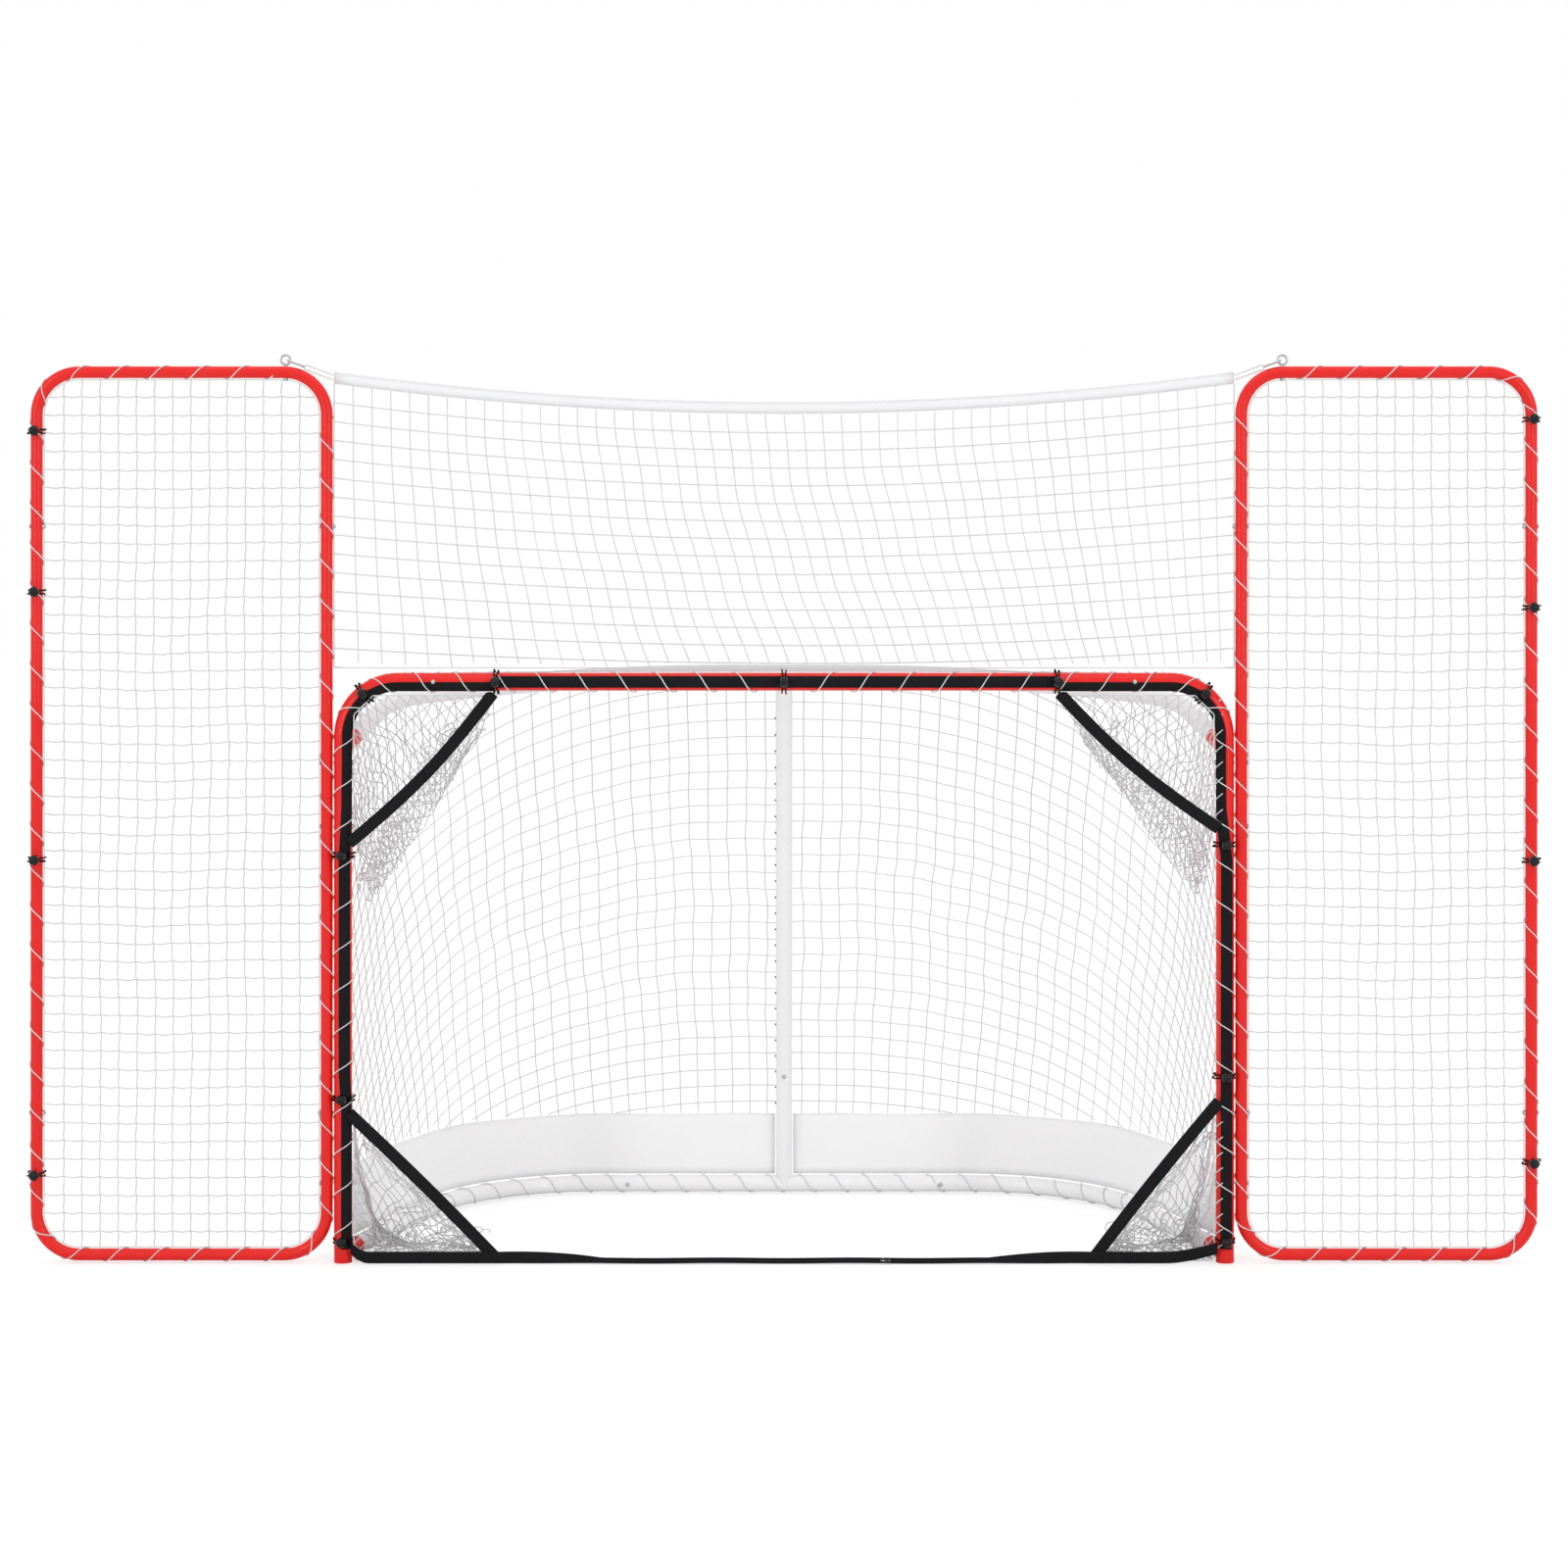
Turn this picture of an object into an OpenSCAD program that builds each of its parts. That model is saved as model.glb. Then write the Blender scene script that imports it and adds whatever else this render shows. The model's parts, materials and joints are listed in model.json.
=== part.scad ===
// Hockey goal with two side wings, a backstop net and four corner shooting targets.
// Millimetres, +Z up, the front faces -Y, the posts stand on z = 0.

/* [Goal frame] */
// Clear width between the posts
goal_w = 1829; // [1500:1:2000]
// Clear height under the crossbar
goal_h = 1209; // [1150:1:1300]
// Diameter of the goal's tubes
tube_d = 38.1; // [32:0.1:40]
// Wall of every tube
tube_wall = 1.5; // [1:0.1:2]
// Bend radius of the top corners, at the middle of the tube
corner_r = 116; // [90:1:130]
// Height of the joint in each post
post_joint_z = 889; // [850:1:900]
// Distance of each crossbar joint from the middle
bar_joint_x = 708; // [680:1:720]
// Length of a tube end that is swaged to enter its neighbour
spigot_l = 60; // [45:1:70]
// Radial clearance between a swaged end and its neighbour
spigot_fit = 0.15; // [0.05:0.01:0.3]
// Flange thickness of the plug in each post's foot
plug_flange = 1.5; // [1:0.1:3]
// Depth of the plug in each post's foot
plug_l = 22; // [10:1:40]

/* [Base and roof] */
// Depth of the goal at the floor, from the goal line to the rear tube's middle
base_depth = 762; // [700:1:900]
// Bend radius of the base tubes
base_r = 400; // [300:1:450]
// Turn of each base tube, from the rear run to the side run, in degrees
base_turn = 74.6; // [70:0.1:80]
// Distance of each joint in the rear run from the middle
base_joint_x = 395; // [380:1:400]
// Height of the base tubes over the floor, which leaves room for the lacing
base_lift = 3; // [2.8:0.1:5]
// Depth of the goal at the roof
roof_depth = 500; // [450:1:560]
// Height on each post where the roof tube meets it
roof_foot_z = 1090; // [1085:1:1092]
// Sweep of the roof tube's wide rear bend, in degrees
roof_sweep = 24; // [20:1:28]
// Bend radius of the roof tube's side bend
roof_r = 150; // [120:1:200]
// Turn of the roof tube, from the rear run to the side run, in degrees
roof_turn = 80; // [76:1:84]
// Length of the welded stubs on the posts, from the post's middle
stub_l = 70; // [60:1:90]
// Height of the joint in the centre post
center_joint_z = 314; // [250:1:400]
// Half width of the cross piece on top of the centre post
tee_half = 60; // [50:1:80]

/* [Wings] */
// Diameter of the wing tubes
wing_d = 25.4; // [22:0.1:28]
// Width of a wing, between the middles of its tubes
wing_w = 614; // [500:1:700]
// Height of the wings' upper edge
wing_top = 1896; // [1850:1:1950]
// Bend radius of the wing corners
wing_r = 90; // [75:1:100]
// Height of the upper joints in a wing
wing_joint_hi = 1532; // [1500:1:1600]
// Height of the lower joints in a wing
wing_joint_lo = 341; // [330:1:350]
// Length of the swaged ends of the wing tubes
wing_spigot_l = 50; // [40:1:60]
// Gap between a post and the wing beside it
wing_gap = 2.8; // [2.7:0.1:5]
// Heights of the bolts that hold a wing to its post
mount_bolt_z = [167, 922, 1057];

/* [Bolts] */
// Diameter of every bolt
bolt_d = 6; // [5:0.1:7]
// Clearance of a bolt in its holes, on the diameter
bolt_fit = 0.4; // [0.2:0.1:1]
// Diameter of a bolt's domed head
head_d = 10.5; // [9:0.1:11]
// Height of a bolt's domed head
head_h = 4; // [3:0.1:5]
// Height of the low head that fits between a wing and its post
low_head_h = 2; // [1.5:0.1:2.2]
// Width across the corners of a nut
nut_d = 10.5; // [9:0.1:11]
// Height of a nut
nut_h = 4.5; // [3:0.1:5]
// Distance of a bolt from the tube joint that it holds, on the goal
bolt_set = 33; // [20:1:36]
// Distance of a bolt from the tube joint that it holds, on base and wings
bolt_set_small = 25; // [20:1:32]

/* [Nets] */
// Thickness of the netting
net_t = 2; // [1.5:0.1:3]
// Width of a net strand
strand = 2.4; // [2:0.1:4]
// Squares across a wing's net
wing_net_cols = 10; // [6:1:10]
// Squares up a wing's net
wing_net_rows = 30; // [20:1:30]
// Squares across the backstop net
back_cols = 30; // [20:1:30]
// Squares up the backstop net
back_rows = 10; // [6:1:10]
// Squares across half of the goal net
goal_cols = 11; // [8:1:12]
// Squares down the back of the goal net
goal_rows = 8; // [6:1:9]
// Squares from the crossbar to the roof tube
roof_rows = 3; // [2:1:4]
// How far the goal net's rows hang lower at the posts than in the middle
net_droop = 130; // [60:1:150]
// Thickness of the skirt
skirt_t = 1.5; // [1:0.1:2.5]
// Upper edge of the skirt over the floor
skirt_top = 190; // [150:1:220]
// Lower edge of the skirt over the floor
skirt_low = 44; // [44:1:60]

/* [Lacing] */
// Diameter of the lacing cord
lace_d = 2.4; // [2:0.1:2.4]
// Length of tube taken by one turn of the lacing
lace_pitch = 85; // [84:0.5:86]
// Height of one crossing between wing and post, which sets where the turns lie
lace_phase = 8.75; // [7:0.25:10]
// Length of tube taken by one turn of the skirt's lacing
skirt_pitch = 76; // [70:1:90]

/* [Backstop] */
// Width of the strap along the backstop's upper edge
back_strap_w = 25; // [20:1:30]
// Height of the strap's upper edge in the middle
back_sag_z = 1820; // [1780:1:1840]
// Height of the strap's upper edge beside the wings
back_end_z = 1884; // [1850:1:1886]
// Distance of each eye bolt from its wing's inner tube
eye_x = 87; // [82:1:110]
// Radius of an eye bolt's ring, at the middle of its wire
eye_r = 10; // [9:0.5:14]
// Wire thickness of an eye bolt
eye_wire = 5.2; // [4:0.1:6]
// Wire thickness of a snap hook
hook_wire = 4.5; // [3.5:0.1:5]
// Bend radius of a snap hook's ends, at the middle of its wire
hook_r = 7; // [6.5:0.1:9]
// Length of a snap hook's straight side
hook_run = 21.5; // [18:0.5:30]
// Thickness of the cord loops sewn to the ends of the backstop strap
loop_d = 3; // [2:0.1:3.2]

/* [Targets] */
// Width of the target's webbing
web_w = 25.4; // [20:0.1:28]
// Thickness of the target's webbing
web_t = 1.6; // [1:0.1:2]
// Reach of the upper left target along the crossbar
tl_bar = 301; // [250:1:340]
// Reach of the upper left target down the post
tl_post = 318; // [250:1:340]
// Reach of the upper right target along the crossbar
tr_bar = 334; // [250:1:340]
// Reach of the upper right target down the post
tr_post = 287; // [250:1:340]
// Reach of the lower left target along the floor
bl_floor = 301; // [250:1:340]
// Reach of the lower left target up the post
bl_post = 318; // [250:1:340]
// Reach of the lower right target along the floor
br_floor = 262; // [250:1:340]
// Reach of the lower right target up the post
br_post = 343; // [250:1:345]
// Depth of the pocket nets behind the targets
pocket_depth = 170; // [120:1:190]
// Place of the strap's buckle, from the middle
buckle_x = 215; // [100:1:300]
// Diameter of the balls on the elastic ties
ball_d = 22; // [18:0.5:24]
// Thickness of the elastic ties
tie_d = 3.5; // [2.5:0.1:4]
// Heights of the ties on the left wing's outer tube
ties_wing_left = [187, 852, 1418, 1758];
// Heights of the ties on the right wing's outer tube
ties_wing_right = [212, 850, 1385, 1783];
// Heights of the ties on the left post
ties_post_left = [46, 347, 862];
// Heights of the ties on the right post
ties_post_right = [46, 394, 884];
// Places of the ties on the crossbar, from the middle
ties_bar = [-609, 0, 578];

/* [Hidden] */
$fn = 48;
eps = 0.01;
seat = 0.3;

tube_r = tube_d / 2;
bore_d = tube_d - 2 * tube_wall;
spigot_d = bore_d - 2 * spigot_fit;
spigot_bore = spigot_d - 2 * tube_wall;
post_x = goal_w / 2 + tube_r;
bar_z = goal_h + tube_r;
bend_z = bar_z - corner_r;
// The roof's stub stays on the straight length of the corner bend.
roof_z = min(roof_foot_z, bend_z - tube_r);
base_z = base_lift + tube_r;
hole_d = bolt_d + bolt_fit;

wing_tube_r = wing_d / 2;
wing_bore = wing_d - 2 * tube_wall;
wing_spigot_d = wing_bore - 2 * spigot_fit;
wing_in = post_x + tube_r + wing_gap + wing_tube_r;
wing_out = wing_in + wing_w;
wing_lo = base_lift + wing_tube_r;
wing_hi = wing_top - wing_tube_r;

lace_r = lace_d / 2;
lace_gap = 0.15;
lace_reach_wing = wing_tube_r + 2 * lace_gap + lace_d;
web_gap = 0.2;
web_front = tube_r + web_gap + web_t;
lace_reach_web = web_front + lace_gap + lace_d;

// The cord has this many rings in a turn, and this many corners.
lace_steps = 8;
lace_sides = 3;
wing_stand = wing_tube_r + lace_gap + lace_r;
goal_stand = tube_r + lace_gap + lace_r;
web_stand = web_front + lace_gap + lace_r;

// The elastic goes round the cord.
tie_rise = 0.45;
goal_tie_r = web_stand / cos(180 / lace_steps) + lace_r + tie_rise + tie_d / 2;

ball_front = web_front + seat + ball_d;
front_reach = ball_front;
// A bolt ends this far past its nut, and the base's bolts reach furthest back.
bolt_tip = 2;
rear_reach = base_depth + tube_r + nut_h + bolt_tip;
goal_y = (front_reach - rear_reach) / 2;

steel = "WhiteSmoke";
red = [0.9, 0.06, 0.05];
white = [0.93, 0.93, 0.94];
web_color = [0.12, 0.12, 0.13];

// ---------- shared shapes ----------

module side(s) mirror([s < 0 ? 1 : 0, 0, 0]) children();

module at_goal() translate([0, goal_y, 0]) children();

// A bar along +X, starting at the origin.
module bar_x(d, l) rotate([0, 90, 0]) cylinder(d = d, h = l);

// A bar along +Y, starting at the origin.
module bar_y(d, l) rotate([-90, 0, 0]) cylinder(d = d, h = l);

// Part of a round bend in the XY plane, round the origin, from angle a0 over sweep degrees.
module bend(r, a0, sweep, d, bore = 0) rotate([0, 0, a0]) rotate_extrude(angle = sweep, $fn = 96)
    translate([r, 0]) difference() {
        circle(d = d);
        if (bore > 0) circle(d = bore);
    }

// A straight length of tube along +X.
module tube_x(d, bore, l) rotate([0, 90, 0]) linear_extrude(l) difference() {
    circle(d = d);
    circle(d = bore);
}

// A bolt along +Z through a stack of the given grip, head below z = 0, nut above.
module bolt(grip, high = head_h) {
    translate([0, 0, -high]) dome(head_d, high);
    translate([0, 0, -eps]) cylinder(d = bolt_d, h = grip + nut_h + bolt_tip);
    translate([0, 0, grip]) cylinder(d = nut_d, h = nut_h, $fn = 6);
}

// A domed cap, flat on top at z = h, round below.
module dome(d, h) {
    r = (d * d / 4 + h * h) / (2 * h);
    intersection() {
        translate([0, 0, r]) sphere(r = r, $fn = 48);
        cylinder(d = d + 1, h = h);
    }
}

// ---------- routes of the bent tubes ----------

bend_lap = 0.3;
bend_thin = 0.2;

// A half bow in a plane: [flat, wide radius, wide sweep, side radius, turn, depth, side length].
function bow_side(depth, r1, a1, r2, turn) =
    (depth - r1 * (1 - cos(a1)) - r2 * (cos(a1) - cos(turn))) / sin(turn);
base_flat = post_x - base_r * sin(base_turn)
    - (base_depth - base_r * (1 - cos(base_turn))) / tan(base_turn);
base_bow = [base_flat, base_r, 0, base_r, base_turn, base_depth,
    bow_side(base_depth, base_r, 0, base_r, base_turn)];

roof_rise = bar_z - roof_z;
roof_tilt = atan2(roof_rise, roof_depth);
roof_reach = sqrt(roof_depth * roof_depth + roof_rise * roof_rise);
// The roof tube is straight as far as the cross piece's swaged end goes in.
roof_flat = tee_half + spigot_l + seat;
roof_wide = (post_x - roof_flat - roof_r * (sin(roof_turn) - sin(roof_sweep))
    - (roof_reach - roof_r * (cos(roof_sweep) - cos(roof_turn))) / tan(roof_turn))
    / (sin(roof_sweep) - (1 - cos(roof_sweep)) / tan(roof_turn));
roof_bow = [roof_flat, roof_wide, roof_sweep, roof_r, roof_turn, roof_reach,
    bow_side(roof_reach, roof_wide, roof_sweep, roof_r, roof_turn)];

function arc_len(r, a) = r * a * PI / 180;
function bow_len(b) = b[0] + arc_len(b[1], b[2]) + arc_len(b[3], b[4] - b[2]) + b[6];
function bow_mid(b) = [
    b[0] + (b[1] - b[3]) * sin(b[2]),
    b[5] - b[1] + (b[1] - b[3]) * cos(b[2])
];

// Place and heading on a half bow, at length s from the middle: [x, depth, heading].
function bow_at(b, s) =
    let (l1 = arc_len(b[1], b[2]), l2 = arc_len(b[3], b[4] - b[2]), c = bow_mid(b))
    s < b[0] ? [s, b[5], 0] :
    s < b[0] + l1 ? let (h = (s - b[0]) / b[1] * 180 / PI)
        [b[0] + b[1] * sin(h), b[5] - b[1] * (1 - cos(h)), h] :
    s < b[0] + l1 + l2 ? let (h = b[2] + (s - b[0] - l1) / b[3] * 180 / PI)
        [c[0] + b[3] * sin(h), c[1] + b[3] * cos(h), h] :
    let (t = s - b[0] - l1 - l2, h = b[4])
        [c[0] + b[3] * sin(h) + t * cos(h), c[1] + b[3] * cos(h) - t * sin(h), h];

// The tube of a half bow from start, on its straight part, to stop_short before its end.
// Its side bend is drawn a little thinner, and laps into the lengths beside it.
module bow_tube(b, start, stop_short) {
    c = bow_mid(b);
    lap = bend_lap / b[3] * 180 / PI;
    if (start < b[0]) translate([start, b[5], 0]) tube_x(tube_d, bore_d, b[0] - start);
    if (b[2] > 0) translate([b[0], b[5] - b[1], 0]) bend(b[1], 90 - b[2], b[2], tube_d, bore_d);
    translate([c[0], c[1], 0]) bend(b[3], 90 - b[4] - lap, b[4] - b[2] + 2 * lap,
        tube_d - 2 * bend_thin, bore_d + 2 * bend_thin);
    end = bow_at(b, bow_len(b) - stop_short);
    translate([end[0], end[1], 0]) rotate([0, 0, 180 - b[4]]) tube_x(tube_d, bore_d, b[6] - stop_short);
}

// A welded stub that leaves the post along the side run of a bow, and its swaged end.
module stub(turn, d_body, d_end, l_end) {
    rotate([0, 0, 180 - turn]) {
        bar_x(d_body, stub_l);
        bar_x(d_end, stub_l + l_end);
    }
}

module roof_plane() translate([0, 0, roof_z]) rotate([roof_tilt, 0, 0]) children();

// ---------- goal frame ----------

module post_holes() for (z = mount_bolt_z) translate([post_x - tube_d, 0, z]) bar_x(hole_d, 2 * tube_d);

module post(s) color(red) at_goal() side(s) difference() {
    union() {
        translate([post_x, 0, plug_flange]) cylinder(d = tube_d, h = post_joint_z - plug_flange);
        translate([post_x, 0, post_joint_z - eps]) cylinder(d = spigot_d, h = spigot_l);
        translate([post_x, 0, base_z]) stub(base_turn, tube_d, spigot_d, spigot_l);
    }
    translate([post_x, 0, -eps]) cylinder(d = bore_d, h = post_joint_z - 6);
    translate([post_x, 0, 1]) cylinder(d = spigot_bore, h = post_joint_z + spigot_l);
    translate([post_x, 0, base_z]) stub(base_turn, spigot_bore, spigot_bore, spigot_l + 1);
    post_holes();
}
module left_post() post(-1);
module right_post() post(1);

// The top corner: a leg down the post, the bend and a leg along the crossbar.
module corner_tube() {
    translate([post_x, 0, post_joint_z]) rotate([0, -90, 0]) tube_x(tube_d, bore_d, bend_z - post_joint_z);
    translate([post_x - corner_r, 0, bend_z]) rotate([90, 0, 0]) bend(corner_r, 0, 90, tube_d, bore_d);
    translate([bar_joint_x, 0, bar_z]) tube_x(tube_d, bore_d, post_x - corner_r - bar_joint_x);
}

// The stub that is welded behind the corner for the roof tube, with its foot shaped to the post.
module roof_stub() difference() {
    translate([post_x, 0, 0]) roof_plane() stub(roof_turn, tube_d, spigot_d, spigot_l);
    translate([post_x, 0, post_joint_z]) cylinder(d = bore_d, h = bend_z - post_joint_z + eps);
    translate([post_x, 0, 0]) roof_plane() stub(roof_turn, spigot_bore, spigot_bore, spigot_l + 1);
}

module corner_bend(s) color(red) at_goal() side(s) difference() {
    union() {
        corner_tube();
        roof_stub();
    }
    translate([bar_joint_x + bolt_set, -tube_d, bar_z]) bar_y(hole_d, 2 * tube_d);
    post_holes();
}
module left_corner_bend() corner_bend(-1);
module right_corner_bend() corner_bend(1);

module crossbar() color(red) at_goal() difference() {
    union() {
        translate([-bar_joint_x, 0, bar_z]) bar_x(tube_d, 2 * bar_joint_x);
        translate([-bar_joint_x - spigot_l, 0, bar_z]) bar_x(spigot_d, 2 * (bar_joint_x + spigot_l));
    }
    translate([-bar_joint_x - spigot_l - 1, 0, bar_z]) bar_x(spigot_bore, 2 * (bar_joint_x + spigot_l + 1));
    for (s = [-1, 1]) translate([s * (bar_joint_x + bolt_set), -tube_d, bar_z]) bar_y(hole_d, 2 * tube_d);
}

// A domed head at the front and a nut behind, through the bar at height bar_z.
module crossbar_bolts() color(steel) at_goal() for (s = [-1, 1])
    translate([s * (bar_joint_x + bolt_set), -tube_r, bar_z]) rotate([-90, 0, 0]) bolt(tube_d);

module post_end_plugs() color(red) at_goal() for (s = [-1, 1]) translate([s * post_x, 0, 0]) {
    cylinder(d = tube_d, h = plug_flange);
    cylinder(d = spigot_bore - 2 * spigot_fit, h = plug_l);
}

// ---------- base, centre post and roof ----------

center_lean = atan2(base_depth - roof_depth, bar_z - base_z);
center_len = (bar_z - base_z) / cos(center_lean);
center_joint = (center_joint_z - base_z) / cos(center_lean);
base_bolt_x = base_joint_x - bolt_set_small;

// The centre post's own axis: +Z runs up the post from the rear base tube.
module center_axis() translate([0, base_depth, base_z]) rotate([center_lean, 0, 0]) children();

module base_center_tube() color(white) at_goal() difference() {
    union() {
        translate([-base_joint_x, base_depth, base_z]) bar_x(tube_d, 2 * base_joint_x);
        center_axis() cylinder(d = tube_d, h = center_joint);
    }
    translate([-base_joint_x - 1, base_depth, base_z]) bar_x(bore_d, 2 * base_joint_x + 2);
    center_axis() cylinder(d = bore_d, h = center_joint + 1);
    for (s = [-1, 1]) translate([s * base_bolt_x, base_depth - tube_d, base_z]) bar_y(hole_d, 2 * tube_d);
    center_axis() translate([0, -tube_d, center_joint - bolt_set_small]) bar_y(hole_d, 2 * tube_d);
}

// A swaged end down from z = 0, with the collar that joins it to its tube's wall.
collar_l = 6;
collar_from = 0.5;
module spigot() rotate_extrude() polygon([
    [spigot_bore / 2, -spigot_l], [spigot_d / 2, -spigot_l], [spigot_d / 2, collar_from],
    [(bore_d + tube_wall) / 2, collar_from], [(bore_d + tube_wall) / 2, collar_l],
    [spigot_bore / 2, collar_l]
]);

module base_tube(s) color(white) at_goal() side(s) translate([0, 0, base_z]) difference() {
    union() {
        bow_tube(base_bow, base_joint_x, stub_l);
        translate([base_joint_x, base_depth, 0]) rotate([0, 90, 0]) spigot();
    }
    translate([base_bolt_x, base_depth - tube_d, 0]) bar_y(hole_d, 2 * tube_d);
}
module base_tube_left() base_tube(-1);
module base_tube_right() base_tube(1);

module base_bolts() color(steel) at_goal() for (s = [-1, 1])
    translate([s * base_bolt_x, base_depth - tube_r, base_z]) rotate([-90, 0, 0]) bolt(tube_d);

module center_post() color(white) at_goal() difference() {
    union() {
        center_axis() translate([0, 0, center_joint]) cylinder(d = tube_d, h = center_len - center_joint);
        center_axis() translate([0, 0, center_joint - spigot_l]) cylinder(d = spigot_d, h = spigot_l + 1);
        translate([-tee_half, roof_depth, bar_z]) bar_x(tube_d, 2 * tee_half);
        translate([-tee_half - spigot_l, roof_depth, bar_z]) bar_x(spigot_d, 2 * (tee_half + spigot_l));
    }
    center_axis() translate([0, 0, center_joint - spigot_l - 1])
        cylinder(d = spigot_bore, h = center_len - center_joint + spigot_l + 1);
    translate([-tee_half - spigot_l - 1, roof_depth, bar_z])
        bar_x(spigot_bore, 2 * (tee_half + spigot_l + 1));
    center_axis() translate([0, -tube_d, center_joint - bolt_set_small]) bar_y(hole_d, 2 * tube_d);
    for (s = [-1, 1]) side(s) roof_plane() roof_tee_hole();
}

module roof_tee_hole() translate([tee_half + bolt_set_small, roof_reach, -tube_d])
    cylinder(d = hole_d, h = 2 * tube_d);

module roof_tube(s) color(white) at_goal() side(s) roof_plane() difference() {
    bow_tube(roof_bow, tee_half, stub_l);
    roof_tee_hole();
}
module roof_tube_left() roof_tube(-1);
module roof_tube_right() roof_tube(1);

// One bolt through the centre post's joint and one through each end of the roof's cross piece.
module roof_bolts() color(steel) at_goal() {
    center_axis() translate([0, -tube_r, center_joint - bolt_set_small]) rotate([-90, 0, 0]) bolt(tube_d);
    for (s = [-1, 1]) side(s) roof_plane() translate([tee_half + bolt_set_small, roof_reach, tube_r])
        rotate([180, 0, 0]) bolt(tube_d);
}

// ---------- wings ----------

// Three sides of a wing's end: two legs, two bends and the run between them.
module wing_end(z_run, z_leg, up) {
    z_bend = z_run - up * wing_r;
    for (x = [wing_in, wing_out]) translate([x, 0, min(z_leg, z_bend)]) rotate([0, -90, 0])
        tube_x(wing_d, wing_bore, abs(z_leg - z_bend));
    translate([wing_in + wing_r, 0, z_bend]) rotate([90, 0, 0])
        bend(wing_r, up > 0 ? 90 : 180, 90, wing_d, wing_bore);
    translate([wing_out - wing_r, 0, z_bend]) rotate([90, 0, 0])
        bend(wing_r, up > 0 ? 0 : 270, 90, wing_d, wing_bore);
    translate([wing_in + wing_r, 0, z_run]) tube_x(wing_d, wing_bore, wing_w - 2 * wing_r);
}

wing_bolt_hi = wing_joint_hi + bolt_set_small;
wing_bolt_lo = wing_joint_lo - bolt_set_small;
eye_at = wing_in + eye_x;

module wing_bolt_hole(x, z) translate([x - wing_d, 0, z]) bar_x(hole_d, 2 * wing_d);

module wing_top_bend(s) color(red) at_goal() side(s) difference() {
    wing_end(wing_hi, wing_joint_hi, 1);
    for (x = [wing_in, wing_out]) wing_bolt_hole(x, wing_bolt_hi);
    translate([eye_at, 0, wing_hi - wing_d]) cylinder(d = hole_d, h = 2 * wing_d);
}
module wing_top_bend_left() wing_top_bend(-1);
module wing_top_bend_right() wing_top_bend(1);

module wing_bottom_bend(s) color(red) at_goal() side(s) difference() {
    wing_end(wing_lo, wing_joint_lo, -1);
    for (x = [wing_in, wing_out]) wing_bolt_hole(x, wing_bolt_lo);
    wing_bolt_hole(wing_in, mount_bolt_z[0]);
}
module wing_bottom_bend_left() wing_bottom_bend(-1);
module wing_bottom_bend_right() wing_bottom_bend(1);

// A straight wing tube with both ends swaged.
module wing_tube(x) difference() {
    union() {
        translate([x, 0, wing_joint_lo]) cylinder(d = wing_d, h = wing_joint_hi - wing_joint_lo);
        translate([x, 0, wing_joint_lo - wing_spigot_l])
            cylinder(d = wing_spigot_d, h = wing_joint_hi - wing_joint_lo + 2 * wing_spigot_l);
    }
    translate([x, 0, wing_joint_lo - wing_spigot_l - 1])
        cylinder(d = wing_spigot_d - 2 * tube_wall,
            h = wing_joint_hi - wing_joint_lo + 2 * wing_spigot_l + 2);
    wing_bolt_hole(x, wing_bolt_hi);
    wing_bolt_hole(x, wing_bolt_lo);
}

module wing_inner_tube(s) color(red) at_goal() side(s) difference() {
    wing_tube(wing_in);
    for (z = [mount_bolt_z[1], mount_bolt_z[2]]) wing_bolt_hole(wing_in, z);
}
module wing_inner_tube_left() wing_inner_tube(-1);
module wing_inner_tube_right() wing_inner_tube(1);

module wing_outer_tube_left() color(red) at_goal() side(-1) wing_tube(wing_out);
module wing_outer_tube_right() color(red) at_goal() side(1) wing_tube(wing_out);

// Nuts towards the goal, apart from the one bolt beside the post, which has a low head there.
module wing_joint_bolts() color(steel) at_goal() for (s = [-1, 1]) side(s) {
    for (z = [wing_bolt_hi, wing_bolt_lo]) translate([wing_out + wing_tube_r, 0, z])
        rotate([0, -90, 0]) bolt(wing_d);
    translate([wing_in + wing_tube_r, 0, wing_bolt_hi]) rotate([0, -90, 0]) bolt(wing_d);
    translate([wing_in - wing_tube_r, 0, wing_bolt_lo]) rotate([0, 90, 0]) bolt(wing_d, low_head_h);
}

// Long bolts through a wing's inner tube and the post beside it.
module wing_mount_bolts() color(steel) at_goal() for (s = [-1, 1], z = mount_bolt_z) side(s)
    translate([wing_in + wing_tube_r, 0, z]) rotate([0, -90, 0]) bolt(wing_d + wing_gap + tube_d);

// ---------- flat nets ----------

bolt_room = head_h + nut_h + 3;
net_edge = lace_reach_wing + seat;

// Holes of a flat net over a w by h field, in the XY plane.
module mesh_holes(w, h, cols, rows) {
    dx = w / cols;
    dy = h / rows;
    for (i = [0 : cols - 1], j = [0 : rows - 1])
        translate([i * dx + strand / 2, j * dy + strand / 2]) square([dx - strand, dy - strand]);
}

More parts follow.
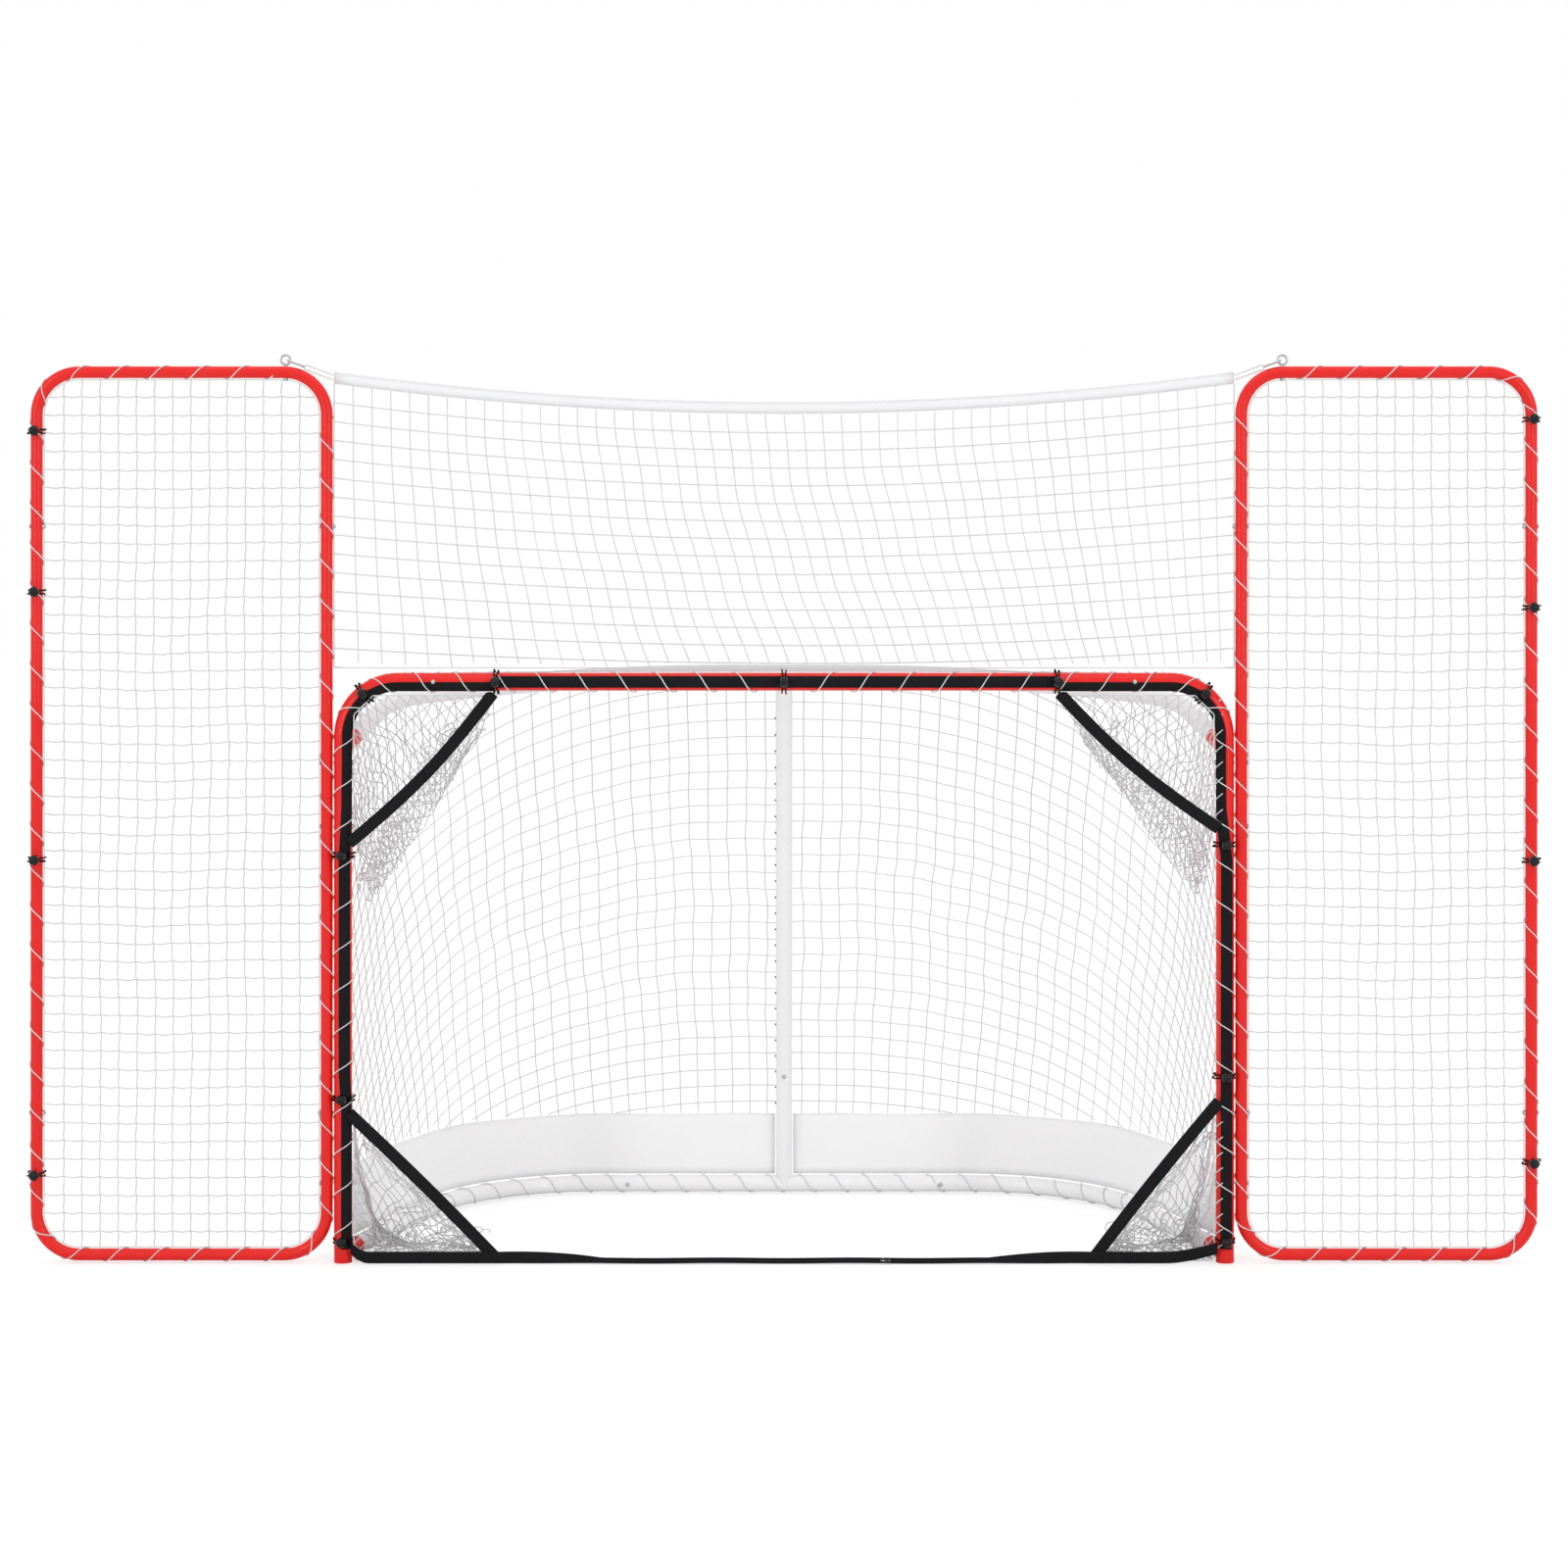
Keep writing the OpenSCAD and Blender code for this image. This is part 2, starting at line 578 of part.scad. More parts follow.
module wing_net(s) color(white) at_goal() side(s)
    translate([0, net_t / 2, 0]) rotate([90, 0, 0]) linear_extrude(net_t) difference() {
        w = wing_w - 2 * net_edge;
        h = wing_hi - wing_lo - 2 * net_edge;
        translate([wing_in + net_edge, wing_lo + net_edge]) difference() {
            square([w, h]);
            translate([strand / 2, strand / 2])
                mesh_holes(w - strand, h - strand, wing_net_cols, wing_net_rows);
            for (x = [0, w], y = [0, h]) translate([x, y])
                rotate(45) square(wing_r * 0.85, center = true);
        }
        for (z = [wing_bolt_hi, wing_bolt_lo], x = [wing_in, wing_out]) translate([x, z])
            square([2 * (wing_tube_r + bolt_room), head_d + 3], center = true);
        for (z = mount_bolt_z) translate([wing_in, z])
            square([2 * (wing_tube_r + bolt_room), head_d + 3], center = true);
        translate([eye_at, wing_hi]) square([head_d + 4, 2 * (wing_tube_r + bolt_room)], center = true);
        for (z = s < 0 ? ties_wing_left : ties_wing_right) translate([wing_out - wing_tie_r, z])
            square(tie_d + 2 * seat, center = true);
    }
module wing_net_left() wing_net(-1);
module wing_net_right() wing_net(1);

// Height of the backstop strap's upper edge at x.
strap_end_x = wing_in - net_edge;
function sag(x) = back_sag_z + (back_end_z - back_sag_z) * (x / strap_end_x) * (x / strap_end_x);
sag_steps = 16;
function sag_line(drop) = [for (i = [-sag_steps : sag_steps])
    let (x = strap_end_x * i / sag_steps) [x, sag(x) - drop]];
function reversed(list) = [for (i = [len(list) - 1 : -1 : 0]) list[i]];

back_low = bar_z + goal_tie_r + tie_d / 2 + seat;

module below_sag(drop) polygon(concat([[-strap_end_x, 0], [strap_end_x, 0]], reversed(sag_line(drop))));

module backstop_net() color(white) at_goal()
    translate([0, net_t / 2, 0]) rotate([90, 0, 0]) linear_extrude(net_t) difference() {
        intersection() {
            below_sag(back_strap_w + seat);
            translate([-strap_end_x, back_low]) square([2 * strap_end_x, wing_top]);
        }
        intersection() {
            below_sag(back_strap_w + seat + strand);
            translate([-strap_end_x + strand / 2, back_low + strand / 2])
                mesh_holes(2 * strap_end_x - strand, back_end_z - back_strap_w - back_low - strand,
                    back_cols, back_rows);
        }
        for (s = [-1, 1]) translate([s * wing_in, wing_bolt_hi])
            square([2 * (wing_tube_r + bolt_room), head_d + 3], center = true);
    }

// ---------- backstop strap and its hooks ----------

eye_z = wing_top + eye_r + eye_wire / 2 + 1;
strap_end_z = back_end_z - back_strap_w / 2;
hook_dir = atan2(strap_end_z - eye_z, strap_end_x - eye_at);
hook_inset = eye_r - eye_wire / 2 - seat - hook_wire / 2;
hook_l = hook_run + 2 * hook_r;
loop_r = hook_wire / 2 + seat + loop_d / 2;
link_l = norm([strap_end_x - eye_at, strap_end_z - eye_z]);

// Axes of a hook: +X from the eye to the strap, +Y to the back.
module hook_axis(s) side(s) translate([eye_at, 0, eye_z]) rotate([0, -hook_dir, 0]) children();

module backstop_strap() color(white) at_goal() {
    translate([0, web_t / 2, 0]) rotate([90, 0, 0]) linear_extrude(web_t)
        polygon(concat(sag_line(back_strap_w), reversed(sag_line(0))));
    for (s = [-1, 1]) hook_axis(s) translate([hook_inset + hook_l, 0, 0]) rotate([90, 0, 0]) {
        bend(loop_r, 90, 180, loop_d);
        for (y = [-loop_r, loop_r]) translate([0, y, 0])
            bar_x(loop_d, link_l - hook_inset - hook_l + 1);
    }
}

module eye_bolts() color(steel) at_goal() for (s = [-1, 1]) side(s) translate([eye_at, 0, 0]) {
    translate([0, 0, eye_z]) rotate([90, 0, 0]) rotate_extrude() translate([eye_r, 0])
        circle(d = eye_wire, $fn = 32);
    translate([0, 0, wing_hi - wing_tube_r - nut_h - 2])
        cylinder(d = eye_wire, h = wing_d + nut_h + 2 + 2);
}

// The nut is a little under the tube, which starts to bend beside it.
eye_nut_drop = 0.5;
module eye_bolt_nuts() color(steel) at_goal() for (s = [-1, 1]) side(s)
    translate([eye_at, 0, wing_hi - wing_tube_r - nut_h - eye_nut_drop]) difference() {
        cylinder(d = nut_d, h = nut_h, $fn = 6);
        translate([0, 0, -1]) cylinder(d = eye_wire + 0.1, h = nut_h + 2);
    }

pin_d = 1.5;
gate_t = 2;
gate_slot = gate_t + 0.5;
clevis_r = 3;
pivot_x = hook_r + hook_run - 1.5;
nose_l = 2.5;
gate_l = hook_run - 1.5 - nose_l - seat;

// A spring snap: two round ends, a solid back and an ear for the gate.
module snap_hook(s) color(steel) at_goal() hook_axis(s) translate([hook_inset, 0, 0]) difference() {
    union() {
        translate([hook_r, 0, 0]) bend(hook_r, 90, 180, hook_wire);
        translate([hook_r + hook_run, 0, 0]) bend(hook_r, -90, 180, hook_wire);
        translate([hook_r - eps, hook_r, 0]) bar_x(hook_wire, hook_run + 2 * eps);
        translate([hook_r - eps, -hook_r, 0]) bar_x(hook_wire, nose_l);
        translate([pivot_x, -hook_r, -clevis_r * 0.8]) cylinder(r = clevis_r, h = clevis_r * 1.6);
    }
    translate([hook_r + nose_l + seat, -hook_r - clevis_r - 1, -gate_slot / 2])
        cube([hook_run - nose_l + 1, 2 * clevis_r + 3, gate_slot]);
    translate([pivot_x, -hook_r, -clevis_r]) cylinder(d = pin_d, h = 2 * clevis_r);
}
module snap_hook_left() snap_hook(-1);
module snap_hook_right() snap_hook(1);

// The sprung gate, closed against the nose.
module snap_gate(s) color(steel) at_goal() hook_axis(s)
    translate([hook_inset + pivot_x, -hook_r, -gate_t / 2])
    difference() {
        union() {
            cylinder(d = hook_wire * 0.8, h = gate_t);
            translate([-gate_l, -hook_wire * 0.4, 0]) cube([gate_l, hook_wire * 0.8, gate_t]);
        }
        translate([0, 0, -1]) cylinder(d = pin_d + 0.1, h = gate_t + 2);
    }
module snap_gate_left() snap_gate(-1);
module snap_gate_right() snap_gate(1);

module snap_hook_pins() color(steel) at_goal() for (s = [-1, 1]) hook_axis(s)
    translate([hook_inset + pivot_x, -hook_r, -clevis_r * 0.8]) cylinder(d = pin_d, h = clevis_r * 1.6);

// ---------- cords wound round the tubes ----------

// Rings of a swept cord, joined into one closed tube. hand is the way it winds.
module cord_tube(rings, hand) {
    n = len(rings);
    m = lace_sides;
    points = [for (ring = rings) each ring];
    walls = [for (i = [0 : n - 2], k = [0 : m - 1]) let (a = i * m + k, b = i * m + (k + 1) % m)
        each hand > 0 ? [[a, b, b + m], [a, b + m, a + m]] : [[a, b, a + m], [b, b + m, a + m]]];
    caps = [[for (k = [m - 1 : -1 : 0]) k], [for (k = [0 : m - 1]) (n - 1) * m + k]];
    polyhedron(points = points, faces = concat(walls, caps), convexity = 10);
}

// Corners of a cord's ring at p, square to direction t, the first one towards direction e.
function ring_at(p, t, e, r) =
    let (f = t / norm(t), e1 = e / norm(e), e2 = cross(f, e1))
    [for (k = [0 : lace_sides - 1]) let (w = k * 360 / lace_sides)
        p + r * (cos(w) * e1 + sin(w) * e2)];

// Rings along a list of [point, direction away from the tube].
function cord_rings(pts, r) = [for (i = [0 : len(pts) - 1])
    ring_at(pts[i][0], pts[min(i + 1, len(pts) - 1)][0] - pts[max(i - 1, 0)][0], pts[i][1], r)];

// Flat-sided turn: how far the cord's middle stands off at angle w, on one axis.
function turn_off(c, plus, minus) =
    let (k = c / cos(180 / lace_steps)) (k > 0 ? plus : minus) * min(max(k, -1), 1);

// A route is a list of pieces [length, start, direction, bend centre, bend radius, start angle, sweep];
// place on it at length s: [point, outward normal], in the XZ plane.
function line_piece(p, q) = let (d = q - p) [norm(d), p, d / norm(d)];
function arc_piece(c, r, a0, sweep) = [arc_len(r, abs(sweep)), c, r, a0, sweep];
function on_piece(p, s, out) = len(p) == 3
    ? [p[1] + s * p[2], out * [p[2][1], -p[2][0]]]
    : let (a = p[3] + p[4] * s / p[0]) [p[1] + p[2] * [cos(a), sin(a)], [cos(a), sin(a)]];
function on_route(route, s, out, i = 0) =
    (s <= route[i][0] || i == len(route) - 1) ? on_piece(route[i], s, out)
    : on_route(route, s - route[i][0], out, i + 1);
function route_len(route, i = 0) = i == len(route) ? 0 : route[i][0] + route_len(route, i + 1);

// A cord wound round a route. offs = [outward, inward, back, front] are its stand-offs.
function wound(route, out, s0, s1, s_ref, w_ref, hand, offs, step = lace_pitch / lace_steps) =
    let (n = floor((s1 - s0) / step))
    [for (i = [0 : n]) let (
        k0 = ceil((s0 - s_ref) / step - 0.5) + i,
        s = s_ref + (k0 + 0.5) * step,
        w = w_ref + hand * (k0 + 0.5) * 360 / lace_steps,
        p = on_route(route, min(max(s, 0), route_len(route)), out),
        o = turn_off(cos(w), offs[0], offs[1]),
        y = turn_off(sin(w), offs[2], offs[3]))
        [[p[0][0] + o * p[1][0], y, p[0][1] + o * p[1][1]], [o * p[1][0], y, o * p[1][1]]]];

// Wing lacing: from the eye bolt outwards, down, back under and up the inner tube.
wing_route = [
    line_piece([eye_at + 25, wing_hi], [wing_out - wing_r, wing_hi]),
    arc_piece([wing_out - wing_r, wing_hi - wing_r], wing_r, 90, -90),
    line_piece([wing_out, wing_hi - wing_r], [wing_out, wing_lo + wing_r]),
    arc_piece([wing_out - wing_r, wing_lo + wing_r], wing_r, 0, -90),
    line_piece([wing_out - wing_r, wing_lo], [wing_in + wing_r, wing_lo]),
    arc_piece([wing_in + wing_r, wing_lo + wing_r], wing_r, 270, -90),
    line_piece([wing_in, wing_lo + wing_r], [wing_in, wing_hi - wing_r])
];
wing_cord_end = route_len(wing_route);
// Length on the route where the inner tube is at height lace_phase.
wing_cord_ref = wing_cord_end - (wing_hi - wing_r) + lace_phase;

module wing_lacing(s, hand) color("white") at_goal() side(s) cord_tube(cord_rings(
    wound(wing_route, -1, 0, wing_cord_end, wing_cord_ref, 0, hand,
        [wing_stand, wing_stand, wing_stand, wing_stand]), lace_r), hand);
module wing_lacing_left() wing_lacing(-1, 1);
module wing_lacing_right() wing_lacing(1, -1);

// Goal lacing: from above the foot of the post, round the corner, to the middle of the crossbar.
goal_route = [
    line_piece([post_x, 0], [post_x, bend_z]),
    arc_piece([post_x - corner_r, bend_z], corner_r, 0, 90),
    line_piece([post_x - corner_r, bar_z], [0, bar_z])
];
goal_cord_start = base_z + tube_r + 18;

module goal_lacing(s) color("white") at_goal() side(s) cord_tube(cord_rings(
    wound(goal_route, 1, goal_cord_start, route_len(goal_route) - 24,
        lace_phase + lace_pitch / 2, 0, -1, [goal_stand, web_stand, goal_stand, web_stand]), lace_r), 1);
module goal_lacing_left() goal_lacing(-1);
module goal_lacing_right() goal_lacing(1);

// Skirt lacing: round the base tube from one post to the other.
base_half = bow_len(base_bow) - stub_l / 2;
skirt_turns = floor(2 * base_half / skirt_pitch) - 1;

// The cord is under the tube in the middle, so it clears the centre post.
skirt_lace_w = 270;

module skirt_lacing() color("white") at_goal() cord_tube(cord_rings([
    for (i = [0 : skirt_turns * lace_steps]) let (
        k = i - floor(skirt_turns * lace_steps / 2) + 0.5,
        s = k * skirt_pitch / lace_steps,
        b = bow_at(base_bow, abs(s)),
        sx = s < 0 ? -1 : 1,
        w = skirt_lace_w + k * 360 / lace_steps,
        o = turn_off(cos(w), goal_stand, goal_stand),
        z = turn_off(sin(w), goal_stand, goal_stand))
        [[sx * (b[0] + o * sin(b[2])), b[1] + o * cos(b[2]), base_z + z],
            [sx * o * sin(b[2]), o * cos(b[2]), z]]], lace_r), -1);

// ---------- goal net and skirt ----------

net_off = (tube_r + seat + net_t / 2) / cos(center_lean);
net_end_gap = 18;
// The net's front edge is behind the lacing and clear of the elastic ties.
front_off = lace_reach_web + net_t / 2 + 2;

// Outward point of a half bow, u from 0 in the middle to 1 at the post.
function bow_out(b, u, off, end_gap = net_end_gap) =
    let (p = bow_at(b, abs(u) * (bow_len(b) - end_gap)), sx = u < 0 ? -1 : 1)
    [sx * (p[0] + off * sin(p[2])), p[1] + off * cos(p[2])];

// Edge of the net over the roof tube, which its flat squares clear on the bends.
roof_off = net_off + 12;
roof_end_gap = 50;
function roof_edge(u) = let (p = bow_out(roof_bow, u, roof_off, roof_end_gap))
    [p[0], p[1] * cos(roof_tilt) - net_off * sin(roof_tilt),
        roof_z + p[1] * sin(roof_tilt) + net_off * cos(roof_tilt)];

// Edge of the net behind the crossbar, the corner and the top of the post.
goal_half = route_len(goal_route);
function frame_edge(u) =
    let (s = goal_half - abs(u) * (goal_half - roof_z - tube_r),
        p = on_route(goal_route, s, 1), sx = u < 0 ? -1 : 1)
    [sx * (p[0][0] + net_off * p[1][0]), front_off, p[0][1] + net_off * p[1][1]];

// The line that net and skirt share, from the roof edge to the base tube.
function base_edge(u) = let (p = bow_out(base_bow, u, net_off)) [p[0], p[1], base_z];
function at_height(u, z) = let (a = base_edge(u), b = roof_edge(u), k = (z - a[2]) / (b[2] - a[2]))
    a + k * (b - a);

// Rows in the middle of the net's height hang lower towards the posts.
function net_point(u, row) = row <= roof_rows
    ? frame_edge(u) + (roof_edge(u) - frame_edge(u)) * row / roof_rows
    : let (k = (row - roof_rows) / goal_rows, top = roof_edge(u)[2],
        z = top + k * (skirt_top + seat - top), fall = net_droop * u * u * 4 * k * (1 - k))
        at_height(u, z - fall);

function unit(v) = v / norm(v);

// The net is drawn in panels, each nearly flat and a little short of the next one.
net_panels = 9;
col_gap = seat / 2 * (2 * goal_cols - 1) / (2 * bow_len(base_bow));
// Roof and back are drawn square-ended this far from the fold between them.
fold_gap = 2;

// A hole's corners, as shares of its square.
hole_inset = 0.02;
hole_far = 1 - hole_inset;
hole_corners = [
    [hole_inset, hole_inset], [hole_far, hole_inset], [hole_far, hole_far], [hole_inset, hole_far]
];

// One panel of a net of cols by rows squares, between the columns c and the rows r.
// Its points are grid corners and hole corners, shifted along the surface's normal.
module lattice(cols, rows, c, r) {
    nc = c[1] - c[0];
    nr = r[1] - r[0];
    function u_of(i) = 2 * i / cols - 1;
    function short_of(i, ends, gap) = i == ends[0] ? i + gap : i == ends[1] ? i - gap : i;
    function normal(i, j) = unit(cross(
        net_point(u_of(min(i + 0.5, cols)), j) - net_point(u_of(max(i - 0.5, 0)), j),
        net_point(u_of(i), min(j + 0.5, r[1])) - net_point(u_of(i), max(j - 0.5, r[0]))));
    function row_gap(u, j) = fold_gap / norm(net_point(u, j) - net_point(u, j == r[0] ? j + 1 : j - 1));
    grid = [for (i = [c[0] : c[1]], j = [r[0] : r[1]])
        let (u = u_of(short_of(i, c, col_gap))) net_point(u, short_of(j, r, row_gap(u, j)))];
    // Over the roof each column keeps one normal, because its squares are short beside the posts.
    norms = [for (i = [c[0] : c[1]], j = [r[0] : r[1]]) normal(i, r[0] == 0 ? r[1] / 2 : j)];
    function at(i, j) = i * (nr + 1) + j;
    function hole_of(list, i, j, a, b) =
        (1 - a) * (1 - b) * list[at(i, j)] + a * (1 - b) * list[at(i + 1, j)]
        + (1 - a) * b * list[at(i, j + 1)] + a * b * list[at(i + 1, j + 1)];
    holes = [for (i = [0 : nc - 1], j = [0 : nr - 1], k = hole_corners) hole_of(grid, i, j, k[0], k[1])];
    hole_norms = [for (i = [0 : nc - 1], j = [0 : nr - 1], k = hole_corners)
        unit(hole_of(norms, i, j, k[0], k[1]))];
    h = net_t / 2;
    all_p = concat(grid, holes);
    all_n = concat(norms, hole_norms);
    total = len(all_p);
    points = concat([for (k = [0 : total - 1]) all_p[k] + h * all_n[k]],
        [for (k = [0 : total - 1]) all_p[k] - h * all_n[k]]);
    function hole_at(i, j, k) = len(grid) + (i * nr + j) * 4 + k % 4;
    function cell_at(i, j, k) = at(i + ((k % 4 == 1 || k % 4 == 2) ? 1 : 0), j + (k % 4 >= 2 ? 1 : 0));
    front = [for (i = [0 : nc - 1], j = [0 : nr - 1], k = [0 : 3])
        each [[cell_at(i, j, k), hole_at(i, j, k), cell_at(i, j, k + 1)],
            [cell_at(i, j, k + 1), hole_at(i, j, k), hole_at(i, j, k + 1)]]];
    back = [for (f = front) [f[0] + total, f[2] + total, f[1] + total]];
    walls = [for (i = [0 : nc - 1], j = [0 : nr - 1], k = [0 : 3])
        let (a = hole_at(i, j, k), b = hole_at(i, j, k + 1))
        each [[a, a + total, b], [b, a + total, b + total]]];
    rim = concat([for (i = [0 : nc - 1]) [at(i, 0), at(i + 1, 0)]],
        [for (j = [0 : nr - 1]) [at(nc, j), at(nc, j + 1)]],
        [for (i = [nc - 1 : -1 : 0]) [at(i + 1, nr), at(i, nr)]],
        [for (j = [nr - 1 : -1 : 0]) [at(0, j + 1), at(0, j)]]);
    edge = [for (e = rim) each [[e[0], e[1], e[0] + total], [e[1], e[1] + total, e[0] + total]]];
    polyhedron(points = points, faces = concat(front, back, walls, edge), convexity = 10);
}

module goal_net() color(white) at_goal() {
    cols = 2 * goal_cols - 1;
    rows = roof_rows + goal_rows;
    for (k = [0 : net_panels - 1], band = [[0, roof_rows], [roof_rows, rows]])
        lattice(cols, rows, [round(k * cols / net_panels), round((k + 1) * cols / net_panels)], band);
}

// One half of the skirt, a thin strip from beside the centre post to the post.
skirt_steps = 14;
// The hem stands on the lacing over the base tube.
hem_off = 6;
skirt_from = (tube_r + 2) / bow_len(base_bow);
// The skirt stops beside the post's elastic tie.
skirt_to = 1 - 16 / bow_len(base_bow);

module skirt(s) {
    us = [for (i = [0 : skirt_steps]) s * (skirt_from + (skirt_to - skirt_from) * i / skirt_steps)];
    function face(u, off) = let (foot = bow_out(base_bow, u, hem_off),
        lo = [foot[0], foot[1], skirt_low], hi = at_height(u, skirt_top),
        b = bow_at(base_bow, abs(u) * (bow_len(base_bow) - net_end_gap)),
        n = [s * sin(b[2]), cos(b[2]), 0]) [lo + off * n, hi + off * n];
    points = [for (u = us) each concat(face(u, -skirt_t / 2), reversed(face(u, skirt_t / 2)))];
    n = len(us);
    // Both faces are split along the same diagonal, so that the cloth keeps its thickness.
    walls = [for (i = [0 : n - 2], k = [0 : 3]) let (a = 4 * i + k, b = 4 * i + (k + 1) % 4)
        each k == 2 ? [[a, b, a + 4], [b, b + 4, a + 4]] : [[a, b, b + 4], [a, b + 4, a + 4]]];
    caps = [[3, 2, 1, 0], [for (k = [0 : 3]) 4 * (n - 1) + k]];
    faces = concat(walls, caps);
    polyhedron(points = points, faces = s > 0 ? faces : [for (f = faces) reversed(f)], convexity = 6);
}
module skirt_left() color(white) at_goal() skirt(-1);
module skirt_right() color(white) at_goal() skirt(1);

// ---------- targets ----------

// A flat piece of webbing in front of the frame, drawn in the XZ plane.
module webbing() translate([0, -tube_r - web_gap, 0]) rotate([90, 0, 0]) linear_extrude(web_t) children();

web_in = goal_w / 2;
web_r = tube_r + web_gap;
web_span = web_w / (web_r + web_t / 2) * 180 / PI;
// Turn of the webbing on posts and corners, from the front towards the opening.
web_turn = 38;
web_foot = 30;

// Section of the webbing round a tube: the middle of its face points along +X at angle 0.
module web_section(turn) intersection() {
    difference() {
        circle(r = web_r + web_t);
        circle(r = web_r);
    }
    a = web_span / 2;
    reach = 2 * web_front;
    polygon([[0, 0], reach * [cos(turn - a), sin(turn - a)], reach * [cos(turn), sin(turn)],
        reach * [cos(turn + a), sin(turn + a)]]);
}

module target_top_strap() color(web_color) at_goal()
    translate([tl_bar - web_in + seat, 0, bar_z]) rotate([90, 0, 90])
        linear_extrude(2 * web_in - tl_bar - tr_bar - 2 * seat) web_section(180);

// Webbing up a post, round the corner and along the crossbar to where the diagonal is sewn on.
module target_side_strap(s, bar_reach) color(web_color) at_goal() side(s) difference() {
    union() {
        translate([post_x, 0, web_foot]) linear_extrude(bend_z - web_foot) web_section(270 - web_turn);
        translate([post_x - corner_r, 0, bend_z]) rotate([90, 0, 0]) rotate_extrude(angle = 90, $fn = 96)
            translate([corner_r, 0]) web_section(90 + web_turn);
        translate([web_in - bar_reach, 0, bar_z]) rotate([90, 0, 90])
            linear_extrude(post_x - corner_r - web_in + bar_reach) web_section(180 + web_turn);
    }
    translate([bar_joint_x + bolt_set, -tube_d, bar_z]) bar_y(head_d + 4 * seat, tube_d);
}
module target_side_strap_left() target_side_strap(-1, tl_bar);
module target_side_strap_right() target_side_strap(1, tr_bar);

// The bottom strap stands upright by the pockets and lies flat between them.
floor_gap = 0.3;
module bottom_strap(s, floor_reach, inner_end) {
    x_up = web_in - floor_reach;
    x_flat = x_up - web_w;
    side(s) webbing() translate([x_up, floor_gap]) square([web_in - x_up + web_w, web_w]);
    y0 = -tube_r - web_gap - web_t;
    side(s) translate([0, y0, 0]) {
        translate([inner_end, 0, floor_gap]) cube([x_flat - inner_end, web_w, web_t]);
        hull() {
            translate([x_flat, 0, floor_gap]) cube([eps, web_w, web_t]);
            translate([x_up, 0, floor_gap]) cube([eps, web_t, web_w]);
        }
    }
}
buckle_w = web_w + 9;
buckle_l = 22;
buckle_y = -web_front - 4.5;
module target_bottom_strap_left() color(web_color) at_goal()
    bottom_strap(-1, bl_floor, -buckle_x + buckle_l / 2 - 4);
module target_bottom_strap_right() color(web_color) at_goal()
    bottom_strap(1, br_floor, buckle_x + 4 - buckle_l / 2 + 2 * seat + 6);

// A ladder-lock buckle: a frame with two slots and a grip bar.
module strap_buckle() color(web_color) at_goal()
    translate([buckle_x - buckle_l / 2 - 1, buckle_y, floor_gap + web_t + seat]) difference() {
        cube([buckle_l, buckle_w, 4]);
        for (x = [4, 13]) translate([x, 4, -1]) cube([5, web_w + 1, 6]);
    }

// Room under the crossbar for the ties round it.
bar_room = 4;

// A band from the frame's inner edge to its other inner edge, cut off along both.
module diagonal(s, along, up, z_corner, dir) side(s) webbing() {
    intersection() {
        polygon([
            [web_in, z_corner + dir * (up - web_w * 0.7)], [web_in, z_corner + dir * (up + web_w * 0.7)],
            [web_in - along - web_w * 0.7, z_corner], [web_in - along + web_w * 0.7, z_corner]
        ]);
        translate([0, dir > 0 ? floor_gap + web_w : 0]) square([web_in - seat, goal_h]);
    }
}

module target_diagonals() color(web_color) at_goal() {
    diagonal(-1, tl_bar, tl_post, goal_h - bar_room, -1);
    diagonal(1, tr_bar, tr_post, goal_h - bar_room, -1);
    diagonal(-1, bl_floor, bl_post, floor_gap, 1);
    diagonal(1, br_floor, br_post, floor_gap, 1);
}

// A pocket: a pouch that is open to the front and hangs behind its triangle.
pocket_wall = 2;
pocket_edge = 14;
pocket_front = web_r - seat;

// The pocket's mouth as a triangle with a cut corner, in the XZ plane, grown outwards by grow.
module pocket_mouth(along, up, z_corner, dir, cut, grow) {
    x0 = web_in - 5 - pocket_edge + grow;
    z0 = pocket_edge - grow;
    function at(x, z) = [x, z_corner + dir * z];
    polygon([at(x0 - cut, z0), at(web_in - along + 29 - 2 * grow, z0),
        at(x0, up - 26 + 2 * grow), at(x0, z0 + cut)]);
}

module pouch(along, up, z_corner, dir, cut, grow, y_from) hull() {
    translate([0, y_from + 1, 0]) rotate([90, 0, 0]) linear_extrude(1)
        pocket_mouth(along, up, z_corner, dir, cut, grow);
    translate([web_in - along * 0.42, pocket_depth - 30,
        z_corner + dir * up * 0.42 - (dir < 0 ? 70 : 0)]) sphere(r = 28 + grow, $fn = 14);
}

module pocket(s, along, up, z_corner, dir, cut) color(white) at_goal() side(s) difference() {
    pouch(along, up, z_corner, dir, cut, 0, -pocket_front);
    pouch(along, up, z_corner, dir, cut, -pocket_wall, -pocket_front - pocket_wall);
}
module pocket_top_left() pocket(-1, tl_bar, tl_post, goal_h, -1, corner_cut);
module pocket_top_right() pocket(1, tr_bar, tr_post, goal_h, -1, corner_cut);
module pocket_bottom_left() pocket(-1, bl_floor, bl_post, 3, 1, pocket_edge);
module pocket_bottom_right() pocket(1, br_floor, br_post, 3, 1, pocket_edge);
corner_cut = 48;

// ---------- elastic ties with balls ----------

// Ball in front of a tube whose clearance to the front is reach.
module tie_ball(reach) translate([0, -reach - ball_d / 2, 0]) sphere(d = ball_d, $fn = 32);

// The elastic: an arc round the tube from the ball, between the two angles from the front.
module tie_loop(ring_r, from, to) rotate([0, 0, -90 + from]) rotate_extrude(angle = to - from)
    translate([ring_r, 0]) circle(d = tie_d, $fn = 24);

